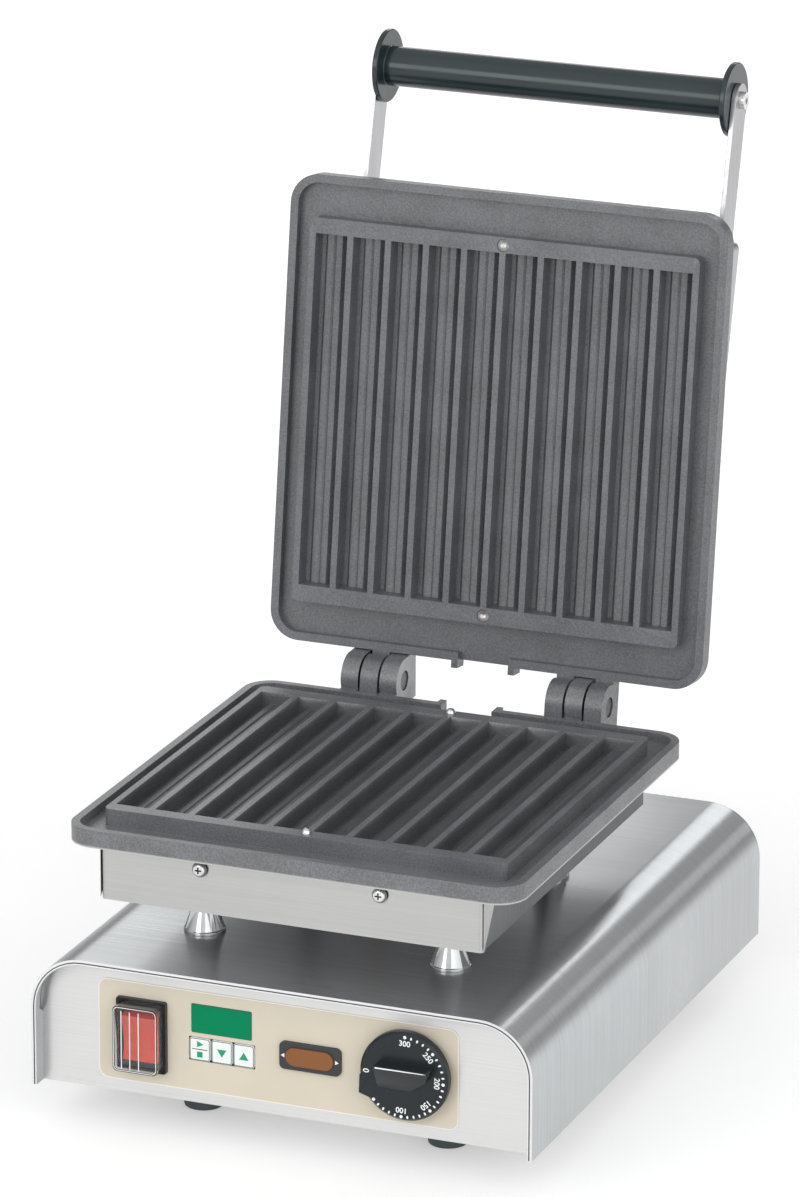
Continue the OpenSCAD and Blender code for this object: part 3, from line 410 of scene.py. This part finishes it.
def finish(node, material, radius, segments=2, sharp=26, big=0.0, is_big=None, second=None,
           paint=None):
    """The node with its sharp edges rounded by radius, or by big where is_big picks the edge; millimetres.

    A face that paint picks gets the second material.
    """
    bm = merged(node)
    if big:
        weights = bm.edges.layers.float.new("bevel_weight_edge")
        for edge in bm.edges:
            if len(edge.link_faces) == 2 and edge.calc_face_angle(0) > math.radians(sharp):
                edge[weights] = 1.0 if is_big(edge) else radius / big
    if paint:
        for face in bm.faces:
            face.material_index = 1 if paint(face) else 0
    mesh = to_mesh(bm, node + ".finished")
    smooth_below(mesh, sharp)
    finishes = [material, second] if second else material
    piece = show(node + ".finished", mesh, body_of_node[node], finishes)
    round_edges(piece, big or radius, segments, sharp, "WEIGHT" if big else "ANGLE")
    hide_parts(node)
    return piece


def solid(name, bm, body, finishes, radius=0.0, flat=False, sharp=30):
    """A piece from a bmesh, smooth where its faces meet below sharp degrees, unless it is flat."""
    bmesh.ops.recalc_face_normals(bm, faces=bm.faces)
    mesh = to_mesh(bm, name)
    if not flat:
        smooth_below(mesh, sharp)
    piece = show(name, mesh, body, finishes)
    if radius:
        round_edges(piece, radius, 2, sharp)
    return piece


def drawn_out(bm, faces, step):
    """Extrudes the faces by the step, and gives the vertices that moved."""
    grown = bmesh.ops.extrude_face_region(bm, geom=faces)
    moved = [v for v in grown["geom"] if isinstance(v, bmesh.types.BMVert)]
    bmesh.ops.translate(bm, verts=moved, vec=step)
    return moved


def plate_from(points, thickness):
    """A flat outline in x and z, drawn towards the front (-Y) by thickness; millimetres."""
    bm = bmesh.new()
    face = bm.faces.new([bm.verts.new((x * MM, 0, z * MM)) for x, z in points])
    drawn_out(bm, [face], (0, -thickness * MM, 0))
    return bm


def arc(x, z, radius, first, last, steps):
    """Points on a round corner about x, z, from the first to the last angle in degrees."""
    angles = [math.radians(first + (last - first) * i / steps) for i in range(steps + 1)]
    return [(x + radius * math.cos(a), z + radius * math.sin(a)) for a in angles]


def frame_from(w, h, r, line, thickness):
    """A thin rounded frame in x and z; millimetres."""
    x, z = w / 2 - r, h / 2 - r
    corners = ((x, z, 0), (-x, z, 90), (-x, -z, 180), (x, -z, 270))
    bm = plate_from([point for cx, cz, a in corners for point in arc(cx, cz, r, a, a + 90, 8)], thickness)
    caps = [f for f in bm.faces if abs(f.normal.y) > 0.9]
    bmesh.ops.inset_region(bm, faces=caps, thickness=line * MM, use_even_offset=True)
    inner = [f for f in bm.faces if abs(f.normal.y) > 0.9 and len(f.verts) > 4]
    bmesh.ops.delete(bm, geom=inner, context="FACES_ONLY")
    loops = [e for e in bm.edges if len(e.link_faces) == 1]
    bmesh.ops.bridge_loops(bm, edges=loops)
    return bm


def set_down(bm, x, y, z):
    """Moves a bmesh that is made about the origin to its place on the base."""
    bmesh.ops.translate(bm, verts=bm.verts, vec=base_point(x, y, z))
    return bm


def mid(edge):
    return (edge.verts[0].co + edge.verts[1].co) / 2


# ------------------------------------------------------------------ base
def at_cover_end(point):
    return point.y < FRONT + 0.1 * MM or point.y > BACK - 0.1 * MM


# the cover's front and back sheet edges get a painted highlight
finish("base_cover", "cover_steel", 0.25, big=0.5, is_big=lambda edge: at_cover_end(mid(edge)),
       segments=3, second="edge_painted_highlight",
       paint=lambda face: abs(face.normal.y) > 0.9 and at_cover_end(face.calc_center_median()))


def arch_path(width, height, radius, foot=0.3):
    """Left foot, over the two shoulders and down to the right foot, in x and z; millimetres."""
    shoulders = arc(radius - width / 2, height - radius, radius, 180, 90, 10) + \
        arc(width / 2 - radius, height - radius, radius, 90, 0, 10)
    return [(-width / 2, foot)] + shoulders + [(width / 2, foot)]


# painted shadow: a dark strip for the shade between the cover's front hem and the opening that the front
# panel fills
SHOULDER, SHADOW_WIDE, SHADOW_DEEP, SHADOW_BACK = 30.5, 0.6, 0.5, 0.3
opening_w, opening_h = front_size("front_panel")
hem_shadow_strip = plate_from(arch_path(opening_w, opening_h, SHOULDER)
                     + arch_path(opening_w - 2 * SHADOW_WIDE, opening_h - SHADOW_WIDE, SHOULDER - SHADOW_WIDE)[::-1], SHADOW_DEEP)
solid("hem_shadow_strip", set_down(hem_shadow_strip, 0, SHADOW_BACK, 0), "base", "gap_dark", flat=True)

# a panel's rounded edges lie further out or up than this, or lower than its foot
RIM_OUT, RIM_UP, RIM_FOOT = 118 * MM, 77.5 * MM, 0.5 * MM


def panel_rim(edge):
    """The rounded edges round the front panel's face and the rear panel's."""
    p = mid(edge)
    at_face = min(abs(p.y - PANEL_FRONT), abs(p.y - PANEL_BACK)) < 0.2 * MM
    return at_face and (abs(p.x) > RIM_OUT or p.z > BOTTOM + RIM_UP or p.z < BOTTOM + RIM_FOOT)


finish("front_panel", "panel_steel", 0.15, big=1.6, is_big=panel_rim, segments=3)
finish("rear_panel", "panel_steel", 0.15, big=1.6, is_big=panel_rim, segments=3)
finish("bottom_plate", "panel_steel", 0.2)
finish("bottom_screws", "fastener_steel", 0.3)
for place in ("front_left", "front_right", "rear_left", "rear_right"):
    finish("foot_" + place, "foot_rubber", 1.2, segments=3)
    finish("standoff_" + place, "standoff_chrome", 0.25, sharp=20, segments=3)
finish("foot_screws", "fastener_steel", 0.3)
finish("mains_gland", "gland_black", 0.4)
finish("base_lead_gland", "gland_black", 0.4)

# ------------------------------------------------------------------ lower half
plate_low, plate_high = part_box("lower_plate")
PLATE_BACK = HINGE.y - 15 * MM
RIM_REACH, LUG_REACH = 8 * MM, 14 * MM
pins_low, pins_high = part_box("locating_pins")
PIN_RADIUS = (pins_high[0] - pins_low[0]) / 2
PINS = [(pins_low[0] + PIN_RADIUS, y) for y in (pins_low[1] + PIN_RADIUS, pins_high[1] - PIN_RADIUS)]


def at_outline(p):
    """Whether a point of the closed iron lies on the outer edge of a casting, clear of its hinge lugs."""
    inset = min(plate_high[0] - abs(p.x), p.y - plate_low[1], PLATE_BACK - p.y)
    return inset < 0.4 * MM and p.y < PLATE_BACK + 0.2 * MM


def outer_rim(edge):
    """The lower casting's outer edges near the joint between the two castings."""
    p = mid(edge)
    return at_outline(p) and p.z > HINGE.z - RIM_REACH


def lid_rim(edge):
    """The same edges of the upper casting, with the lid laid back."""
    p = lid_flat(mid(edge))
    return at_outline(p) and p.z < HINGE.z + RIM_REACH


def lug_end(face):
    """The machined ends of the hinge lugs."""
    p = face.calc_center_median()
    return abs(face.normal.x) > 0.98 and p.y > HINGE.y - LUG_REACH and abs(p.z - HINGE.z) < LUG_REACH


def dimple(face):
    """The two hollows of the lid that meet the locating pins."""
    p = lid_flat(face.calc_center_median())
    off = min(math.hypot(p.x - x, p.y - y) for x, y in PINS)
    return off < PIN_RADIUS + 0.6 * MM and p.z < HINGE.z + 14.5 * MM


finish("lower_plate", "lower_coating", 0.55, big=2.2, is_big=outer_rim, segments=3,
       second="bare_casting", paint=lug_end)
finish("upper_plate", "lid_coating", 0.55, big=2.2, is_big=lid_rim, segments=3,
       second="polished_hollow", paint=dimple)
# the pan's side walls get the painted shade
finish("lower_pan", "pan_steel", 0.35, second="pan_side_painted_shade",
       paint=lambda face: abs(face.normal.x) > 0.9)

# the pan's front wall is folded round its corners, as a three-cornered tab on each side wall
TAB_EDGE, TAB_FOOT, TAB_LONG, TAB_THICK = 0.4 * MM, 0.8 * MM, 21 * MM, 0.45 * MM
pan_low, pan_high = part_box("lower_pan")
tab_front, tab_top = pan_low.y + TAB_EDGE, pan_high.z - TAB_EDGE
for side, wall_x in (("left", pan_low.x), ("right", pan_high.x)):
    bm = bmesh.new()
    corners = ((tab_front, pan_low.z + TAB_FOOT), (tab_front, tab_top), (pan_low.y + TAB_LONG, tab_top))
    tab = bm.faces.new([bm.verts.new((wall_x, y, z)) for y, z in corners])
    drawn_out(bm, [tab], (math.copysign(TAB_THICK, wall_x), 0, 0))
    solid("pan_corner_tab_" + side, bm, "base", "pan_steel", radius=0.15, flat=True)

# ------------------------------------------------------------------ pins, lid and handle
finish("locating_pins", "fastener_steel", 0.3)
finish("lid_hood", "hood_steel", 0.6, segments=3)
finish("arm_screws", "fastener_steel", 0.4)
# the hinge pins carry painted shade
for side in ("left", "right"):
    finish("hinge_pin_" + side, "pin_steel", 0.5)
    finish("handle_arm_" + side, "arm_steel", 0.5, segments=3)
finish("handle_grip", "grip_plastic", 0.8, segments=4)
finish("handle_bolts", "fastener_steel", 0.5, segments=3)

# ------------------------------------------------------------------ wall screws
# radii and heights in millimetres: a flat washer, a round head with a flat crown, and its cross recess
WASHER_R, WASHER_T = 4.5, 0.8
HEAD_R, HEAD_H, HEAD_FOOT, CROWN_R = 3.75, 2.0, 0.25, 2.4
CROSS_ARM, CROSS_HALF, CROSS_DEEP, CROSS_TAPER = 2.0, 0.48, 1.3, 0.6
HEAD_STEPS = 6


def solid_boxes(node):
    """Lowest and highest corner of each separate solid of a node."""
    bm = merged(node)
    left = set(bm.verts)
    boxes = []
    while left:
        points, queue = [], [left.pop()]
        while queue:
            vert = queue.pop()
            points.append(vert.co)
            near = {edge.other_vert(vert) for edge in vert.link_edges} & left
            left -= near
            queue.extend(near)
        boxes.append([Vector([pick(p[i] for p in points) for i in range(3)]) for pick in (min, max)])
    bm.free()
    return boxes


def cross_head():
    """A washer and a round head with a cross recess, standing on the origin and facing up."""
    top = WASHER_T + HEAD_H
    outline = [(0, 0), (WASHER_R - 0.15, 0), (WASHER_R, 0.15), (WASHER_R, WASHER_T - 0.1),
               (WASHER_R - 0.1, WASHER_T), (HEAD_R - 0.1, WASHER_T), (HEAD_R, WASHER_T + HEAD_FOOT)]
    for i in range(1, HEAD_STEPS):
        a = math.radians(90 * i / HEAD_STEPS)
        outline.append((CROWN_R + (HEAD_R - CROWN_R) * math.cos(a),
                        WASHER_T + HEAD_FOOT + (HEAD_H - HEAD_FOOT) * math.sin(a)))
    outline.append((CROWN_R, top))
    bm = bmesh.new()
    profile = [bm.verts.new((x * MM, 0, z * MM)) for x, z in outline]
    lines = [bm.edges.new(pair) for pair in zip(profile, profile[1:])]
    bmesh.ops.spin(bm, geom=profile + lines, cent=(0, 0, 0), axis=(0, 0, 1), angle=math.tau,
                   steps=24, use_merge=True)
    crown = [e for e in bm.edges
             if len(e.link_faces) == 1 and min(v.co.z for v in e.verts) > (top - 0.001) * MM]

    arm, half = CROSS_ARM, CROSS_HALF
    cross = [(half, half), (arm, half), (arm, -half), (half, -half), (half, -arm), (-half, -arm),
             (-half, -half), (-arm, -half), (-arm, half), (-half, half), (-half, arm), (half, arm)]
    rim = [bm.verts.new((x * MM, y * MM, top * MM)) for x, y in cross]
    rim_lines = [bm.edges.new(pair) for pair in zip(rim, rim[1:] + rim[:1])]
    bmesh.ops.bridge_loops(bm, edges=crown + rim_lines)
    cover = bm.faces.new(rim)
    bottom = drawn_out(bm, [cover], (0, 0, -CROSS_DEEP * MM))
    bmesh.ops.delete(bm, geom=[cover], context="FACES_ONLY")
    bmesh.ops.scale(bm, verts=bottom, vec=(CROSS_TAPER, CROSS_TAPER, 1))

    # the washer is the darker steel, and the recess gets the same dark as painted shade
    recess = {face for vert in bottom for face in vert.link_faces}
    for face in bm.faces:
        off = max(math.hypot(v.co.x, v.co.y) for v in face.verts)
        face.material_index = 1 if face in recess or off > (HEAD_R + 0.1) * MM else 0
    return bm


def dress_wall_screws(node, along, body):
    """New heads where a node's screws stand on the front and the back wall of a pan."""
    boxes = solid_boxes(node)
    mean = sum(((low + high) / 2 for low, high in boxes), Vector()) / len(boxes)
    heads = []
    for low, high in boxes:
        centre = (low + high) / 2
        out = along if (centre - mean).dot(along) > 0 else -along
        reach = max((corner - centre).dot(out) for corner in (low, high))
        seat = centre + out * (reach - (WASHER_T + HEAD_H) * MM)
        head = cross_head()
        bmesh.ops.transform(head, verts=head.verts, matrix=Matrix.Translation(seat)
                            @ out.to_track_quat("Z", "Y").to_matrix().to_4x4())
        heads.append(to_mesh(head, "head"))
    piece = solid(node + ".heads", gathered(heads), body, ["fastener_steel", "washer_dark_and_recess_shade"],
                  sharp=34)
    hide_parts(node)


dress_wall_screws("lower_pan_screws", Vector((0, -1, 0)), "base")
dress_wall_screws("lid_hood_screws", LID_TURN.to_3x3() @ Vector((0, -1, 0)), "lid")
finish("lid_lead_gland", "gland_black", 0.4)

# ------------------------------------------------------------------ controls
KEYS = ("key_start_stop", "key_down", "key_up")
finish("control_label", "label_film", 0.12)
finish("switch_body", "switch_black", 0.5, segments=3)
finish("switch_rocker", "rocker_red", 0.4, segments=3)
finish("switch_splash_cover", "clear_cover", 0.3)
finish("timer_window", "window_green", 0.15)
for key in KEYS:
    finish(key, "key_white", 0.25, segments=3)
finish("lamp_bezel", "lamp_black", 0.4, segments=3)
finish("lamp_lens", "lens_amber", 0.8, segments=4)
knob = finish("thermostat_knob", "knob_black", 0.45, segments=3)

# the left end of the knob's grip stops short of the 0 on the dial; heights are from the knob's axis
DIAL_X, _, DIAL_Z = front_of("thermostat_shaft")
GRIP_END, GRIP_LOW, GRIP_HIGH, GRIP_CUT = -20.0, -8.0, 8.6, 5.5
GRIP_FOOT = PANEL_FRONT - 9 * MM
for vert in knob.data.vertices:
    across, upward = vert.co.x / MM - DIAL_X, (vert.co.z - BOTTOM) / MM - DIAL_Z
    if abs(across - GRIP_END) < 0.7 and GRIP_LOW < upward < GRIP_HIGH and vert.co.y < GRIP_FOOT:
        vert.co.x += GRIP_CUT * MM

# inner pieces keep their solids and get their own finishes
INNER = {
    "standoff_bolts": "fastener_steel", "timer_board": "board_green", "thermostat_body": "device_grey",
    "thermostat_shaft": "fastener_steel", "thermostat_sensor": "sensor_copper", "safety_cutout": "ceramic",
    "heater_relay": "relay_blue", "terminal_block": "ceramic", "lower_insulation": "mineral_wool",
    "upper_insulation": "mineral_wool", "lower_heater": "heater_sheath", "upper_heater": "heater_sheath",
    "lower_heater_clamp": "device_grey", "upper_heater_clamp": "device_grey",
    "lower_clamp_screws": "fastener_steel", "upper_clamp_screws": "fastener_steel", "handle_rod": "arm_steel",
}
for node, material in INNER.items():
    for item in nodes[node].material_slots:
        item.material = M[material]

# ------------------------------------------------------------------ dial marks
DISC_FACE = (PANEL_FRONT - FRONT) / MM - 10.0
RIDGE_FACE = DISC_FACE - 9.0
NUMBER_LIFT, INDEX_SINK = 0.04, 0.04
DOTS, DOT_FIRST, DOT_STEP, DOT_RADIUS = 26, 88.0, 9.05, 23.9
DOTS_PER_NUMBER = 5


def on_dial(radius, angle, depth):
    """A point in front of the dial, at an angle in degrees from the right."""
    a = math.radians(angle)
    return base_point(DIAL_X + radius * math.cos(a), depth, DIAL_Z + radius * math.sin(a))


def number(text, angle, radius, size):
    """A numeral on the dial whose top points away from the middle."""
    curve = bpy.data.curves.new("number_" + text, "FONT")
    curve.body = text
    curve.size = size * MM
    curve.align_x = "CENTER"
    curve.align_y = "CENTER"
    curve.extrude = 0.05 * MM
    curve.offset = 0.08 * MM
    holder = bpy.data.objects.new("number_" + text, curve)
    bpy.context.scene.collection.objects.link(holder)
    mesh = bpy.data.meshes.new_from_object(holder.evaluated_get(bpy.context.evaluated_depsgraph_get()))
    bpy.data.objects.remove(holder)
    mesh.transform(Matrix.Rotation(math.radians(90), 4, "X"))
    mesh.transform(Matrix.Rotation(math.radians(90 - angle), 4, "Y"))
    mesh.transform(Matrix.Translation(on_dial(radius, angle, DISC_FACE - NUMBER_LIFT)))
    return mesh


numerals = [number(text, DOT_FIRST - DOTS_PER_NUMBER * DOT_STEP * i, 20.0, 4.6)
            for i, text in enumerate(("300", "250", "200", "150", "100"))]
numerals.append(number("0", 178, 22.2, 5.0))
show("dial_numbers", to_mesh(gathered(numerals), "dial_numbers"), "thermostat_dial", "print_white")

dots = []
for i in range(DOTS):
    angle = DOT_FIRST - DOT_STEP * i
    outward, sideways = (2.0, 1.9) if i % DOTS_PER_NUMBER == 0 else (1.9, 1.15)
    dot = bmesh.new()
    bmesh.ops.create_circle(dot, cap_ends=True, segments=12, radius=0.5 * MM)
    bmesh.ops.scale(dot, verts=dot.verts, vec=(outward, sideways, 1))
    drawn_out(dot, list(dot.faces), (0, 0, 0.08 * MM))
    turn = Matrix.Rotation(-math.radians(angle), 4, "Y") @ Matrix.Rotation(math.radians(90), 4, "X")
    bmesh.ops.transform(dot, verts=dot.verts,
                        matrix=Matrix.Translation(on_dial(DOT_RADIUS, angle, DISC_FACE)) @ turn)
    dots.append(to_mesh(dot, "dot"))
solid("dial_dots", gathered(dots), "thermostat_dial", "print_white")

index_line = plate_from([(-13.6, 7.4), (14.5, 7.4), (17.0, 7.15), (14.5, 6.9), (-13.6, 6.6)], 0.12)
solid("dial_index", set_down(index_line, DIAL_X, RIDGE_FACE + INDEX_SINK, DIAL_Z), "thermostat_dial",
      "print_white")

# ------------------------------------------------------------------ key pads, window, lamp
MARK_SINK, MARK_THICK = 0.02, 0.06


def mark_on(node, name, bm, material):
    """A thin mark made about the origin, on the middle of a node's front face; it rides with the node."""
    x, y, z = front_of(node)
    solid(name, set_down(bm, x, y + MARK_SINK, z), body_of_node[node], material)


def outline_on(node, name, inset, corner, line, thickness, material):
    """A thin frame round a node's front face, smaller than the face by inset; millimetres."""
    width, height = front_size(node)
    mark_on(node, name, frame_from(width - inset, height - inset, corner, line, thickness), material)


ARROW_DOWN, ARROW_UP = [(-2.9, 1.7), (2.9, 1.7), (0, -3.0)], [(-2.9, -2.5), (2.9, -2.5), (0, 2.2)]
START, STOP = [(-1.7, 1.2), (2.3, 3.1), (-1.7, 5.0)], [(-1.7, -4.8), (1.7, -4.8), (1.7, -1.4), (-1.7, -1.4)]
MIDDLE_LINE = [(-4.6, -0.25), (4.6, -0.25), (4.6, 0.25), (-4.6, 0.25)]
for node, name, points, ink in (("key_down", "key_down_arrow", ARROW_DOWN, "print_green"),
                                ("key_up", "key_up_arrow", ARROW_UP, "print_green"),
                                ("key_start_stop", "key_start_mark", START, "print_green"),
                                ("key_start_stop", "key_middle_line", MIDDLE_LINE, "print_dark"),
                                ("key_start_stop", "key_stop_mark", STOP, "print_green")):
    mark_on(node, name, plate_from(points, MARK_THICK), ink)
for key in KEYS:
    outline_on(key, key + "_outline", 0.5, 1.5, 0.42, MARK_THICK, "print_dark")
outline_on("timer_window", "window_edging", 0, 0.8, 0.5, 0.08, "print_dark")
# the label's edge gets a painted highlight
outline_on("control_label", "label_border", 0, 6, 0.55, 0.1, "label_border")
for name, side in (("lamp_mark_left", -1), ("lamp_mark_right", 1)):
    arrow = [(side * 17.6, 0), (side * 15.4, 1.3), (side * 15.4, -1.3)][::side]
    mark_on("lamp_bezel", name, plate_from(arrow, MARK_THICK), "print_white")

# ------------------------------------------------------------------ splash cover ribs and edge, white as painted highlights
RIB_R, RIB_LONG = 0.32 * MM, 35 * MM
cover_x, cover_y, cover_z = front_of("switch_splash_cover")
rib_highlights = bmesh.new()
for x in (-8.2, -3.0, 2.4):
    rod = bmesh.ops.create_cone(rib_highlights, cap_ends=True, segments=8, radius1=RIB_R, radius2=RIB_R, depth=RIB_LONG)
    bmesh.ops.translate(rib_highlights, verts=rod["verts"], vec=base_point(cover_x + x, cover_y + 0.12, cover_z - 0.5))
solid("splash_cover_rib_highlights", rib_highlights, "base", "print_white")
highlight_frame = set_down(frame_from(26.4, 38.4, 3, 0.35, 0.1), cover_x, cover_y + 0.06, cover_z)
solid("splash_cover_edge_highlight", highlight_frame, "base", "print_white")

# ------------------------------------------------------------------ camera
TURN, TILT, ROLL = math.radians(21.732), math.radians(18.186), math.radians(0.167)
camera = bpy.data.cameras.new("camera")
camera.sensor_width = 36
camera.lens = 214.98
camera.clip_start = 0.1
camera.clip_end = 60
viewer = bpy.data.objects.new("camera", camera)
bpy.context.scene.collection.objects.link(viewer)
sight = Vector((-math.sin(TURN) * math.cos(TILT), math.cos(TURN) * math.cos(TILT), -math.sin(TILT)))
flat_right = Vector((math.cos(TURN), math.sin(TURN), 0))
flat_up = flat_right.cross(sight)
right = flat_right * math.cos(ROLL) + flat_up * math.sin(ROLL)
up = flat_up * math.cos(ROLL) - flat_right * math.sin(ROLL)
viewer.matrix_world = Matrix.Translation(base_point(1443.99, -3441.05, 1536.43)) @ \
    Matrix((right, up, -sight)).transposed().to_4x4()
bpy.context.scene.camera = viewer

# ------------------------------------------------------------------ floor, world and lamps
# the floor looks a little brighter than it lights the iron
FLOOR_GLOW, FLOOR_REACH = 0.31, 14
bm = bmesh.new()
bmesh.ops.create_grid(bm, x_segments=1, y_segments=1, size=FLOOR_REACH)
floor = bpy.data.objects.new("floor", to_mesh(bm, "floor"))
bpy.context.scene.collection.objects.link(floor)
floor_white = bpy.data.materials.new("floor_white")
floor_white.use_nodes = True
tree = floor_white.node_tree
shader = tree.nodes["Principled BSDF"]
shader.inputs["Base Color"].default_value = (0.8, 0.8, 0.8, 1)
shader.inputs["Roughness"].default_value = 0.9
shader.inputs["Specular IOR Level"].default_value = 0.1
shader.inputs["Emission Color"].default_value = (1, 1, 1, 1)
path = tree.nodes.new("ShaderNodeLightPath").outputs
seen = arithmetic(tree, "MAXIMUM", path["Is Camera Ray"],
                  arithmetic(tree, "MAXIMUM", path["Is Glossy Ray"], path["Is Transmission Ray"]))
tree.links.new(arithmetic(tree, "MULTIPLY", seen, FLOOR_GLOW), shader.inputs["Emission Strength"])
floor.data.materials.append(floor_white)

# a white sky, bright overhead and in front and dark along the horizon behind
world = bpy.data.worlds.new("studio")
bpy.context.scene.world = world
world.use_nodes = True
tree = world.node_tree
background = tree.nodes["Background"]
way = tree.nodes.new("ShaderNodeTexCoord").outputs["Generated"]
direction = add_node(tree, "ShaderNodeSeparateXYZ", Vector=way).outputs
overhead = stretch(tree, direction["Z"], 0.35, 0.95, 0.28, 0.74)
ahead = stretch(tree, direction["Y"], -0.9, 0.1, 0.76, 0)
tree.links.new(arithmetic(tree, "ADD", overhead, ahead), background.inputs["Strength"])
background.inputs["Color"].default_value = (1, 1, 1, 1)

AIM = Vector((0, 0, 0.2))


def soft_card(name, side, rise, distance, size, radiance):
    """A rectangular soft lamp, aimed at the iron; side and rise are where it stands, in degrees.

    0, 0 is straight behind the iron. Distance and size are in metres.
    """
    lamp = bpy.data.lights.new(name, "AREA")
    lamp.shape = "RECTANGLE"
    lamp.size, lamp.size_y = size
    lamp.energy = radiance * math.pi * size[0] * size[1]
    holder = bpy.data.objects.new(name, lamp)
    bpy.context.scene.collection.objects.link(holder)
    holder.visible_camera = False
    a, e = math.radians(side), math.radians(rise)
    away = Vector((math.sin(a) * math.cos(e), math.cos(a) * math.cos(e), math.sin(e)))
    holder.matrix_world = Matrix.Translation(AIM + away * distance) @ \
        (-away).to_track_quat("-Z", "Y").to_matrix().to_4x4()


soft_card("key_lamp", 198, 24, 3.2, (1.3, 1.3), 2.6)
soft_card("left_card", -26, 19, 2.6, (0.9, 1.0), 1.35)
soft_card("shoulder_card", -1.5, 27, 2.6, (0.9, 0.6), 3.2)
soft_card("side_strip", 25.3, 10, 2.6, (0.21, 0.5), 2.0)
soft_card("right_fill", 124, 24, 6.0, (7.2, 5.8), 0.95)

view = bpy.context.scene.view_settings
view.view_transform = "Standard"
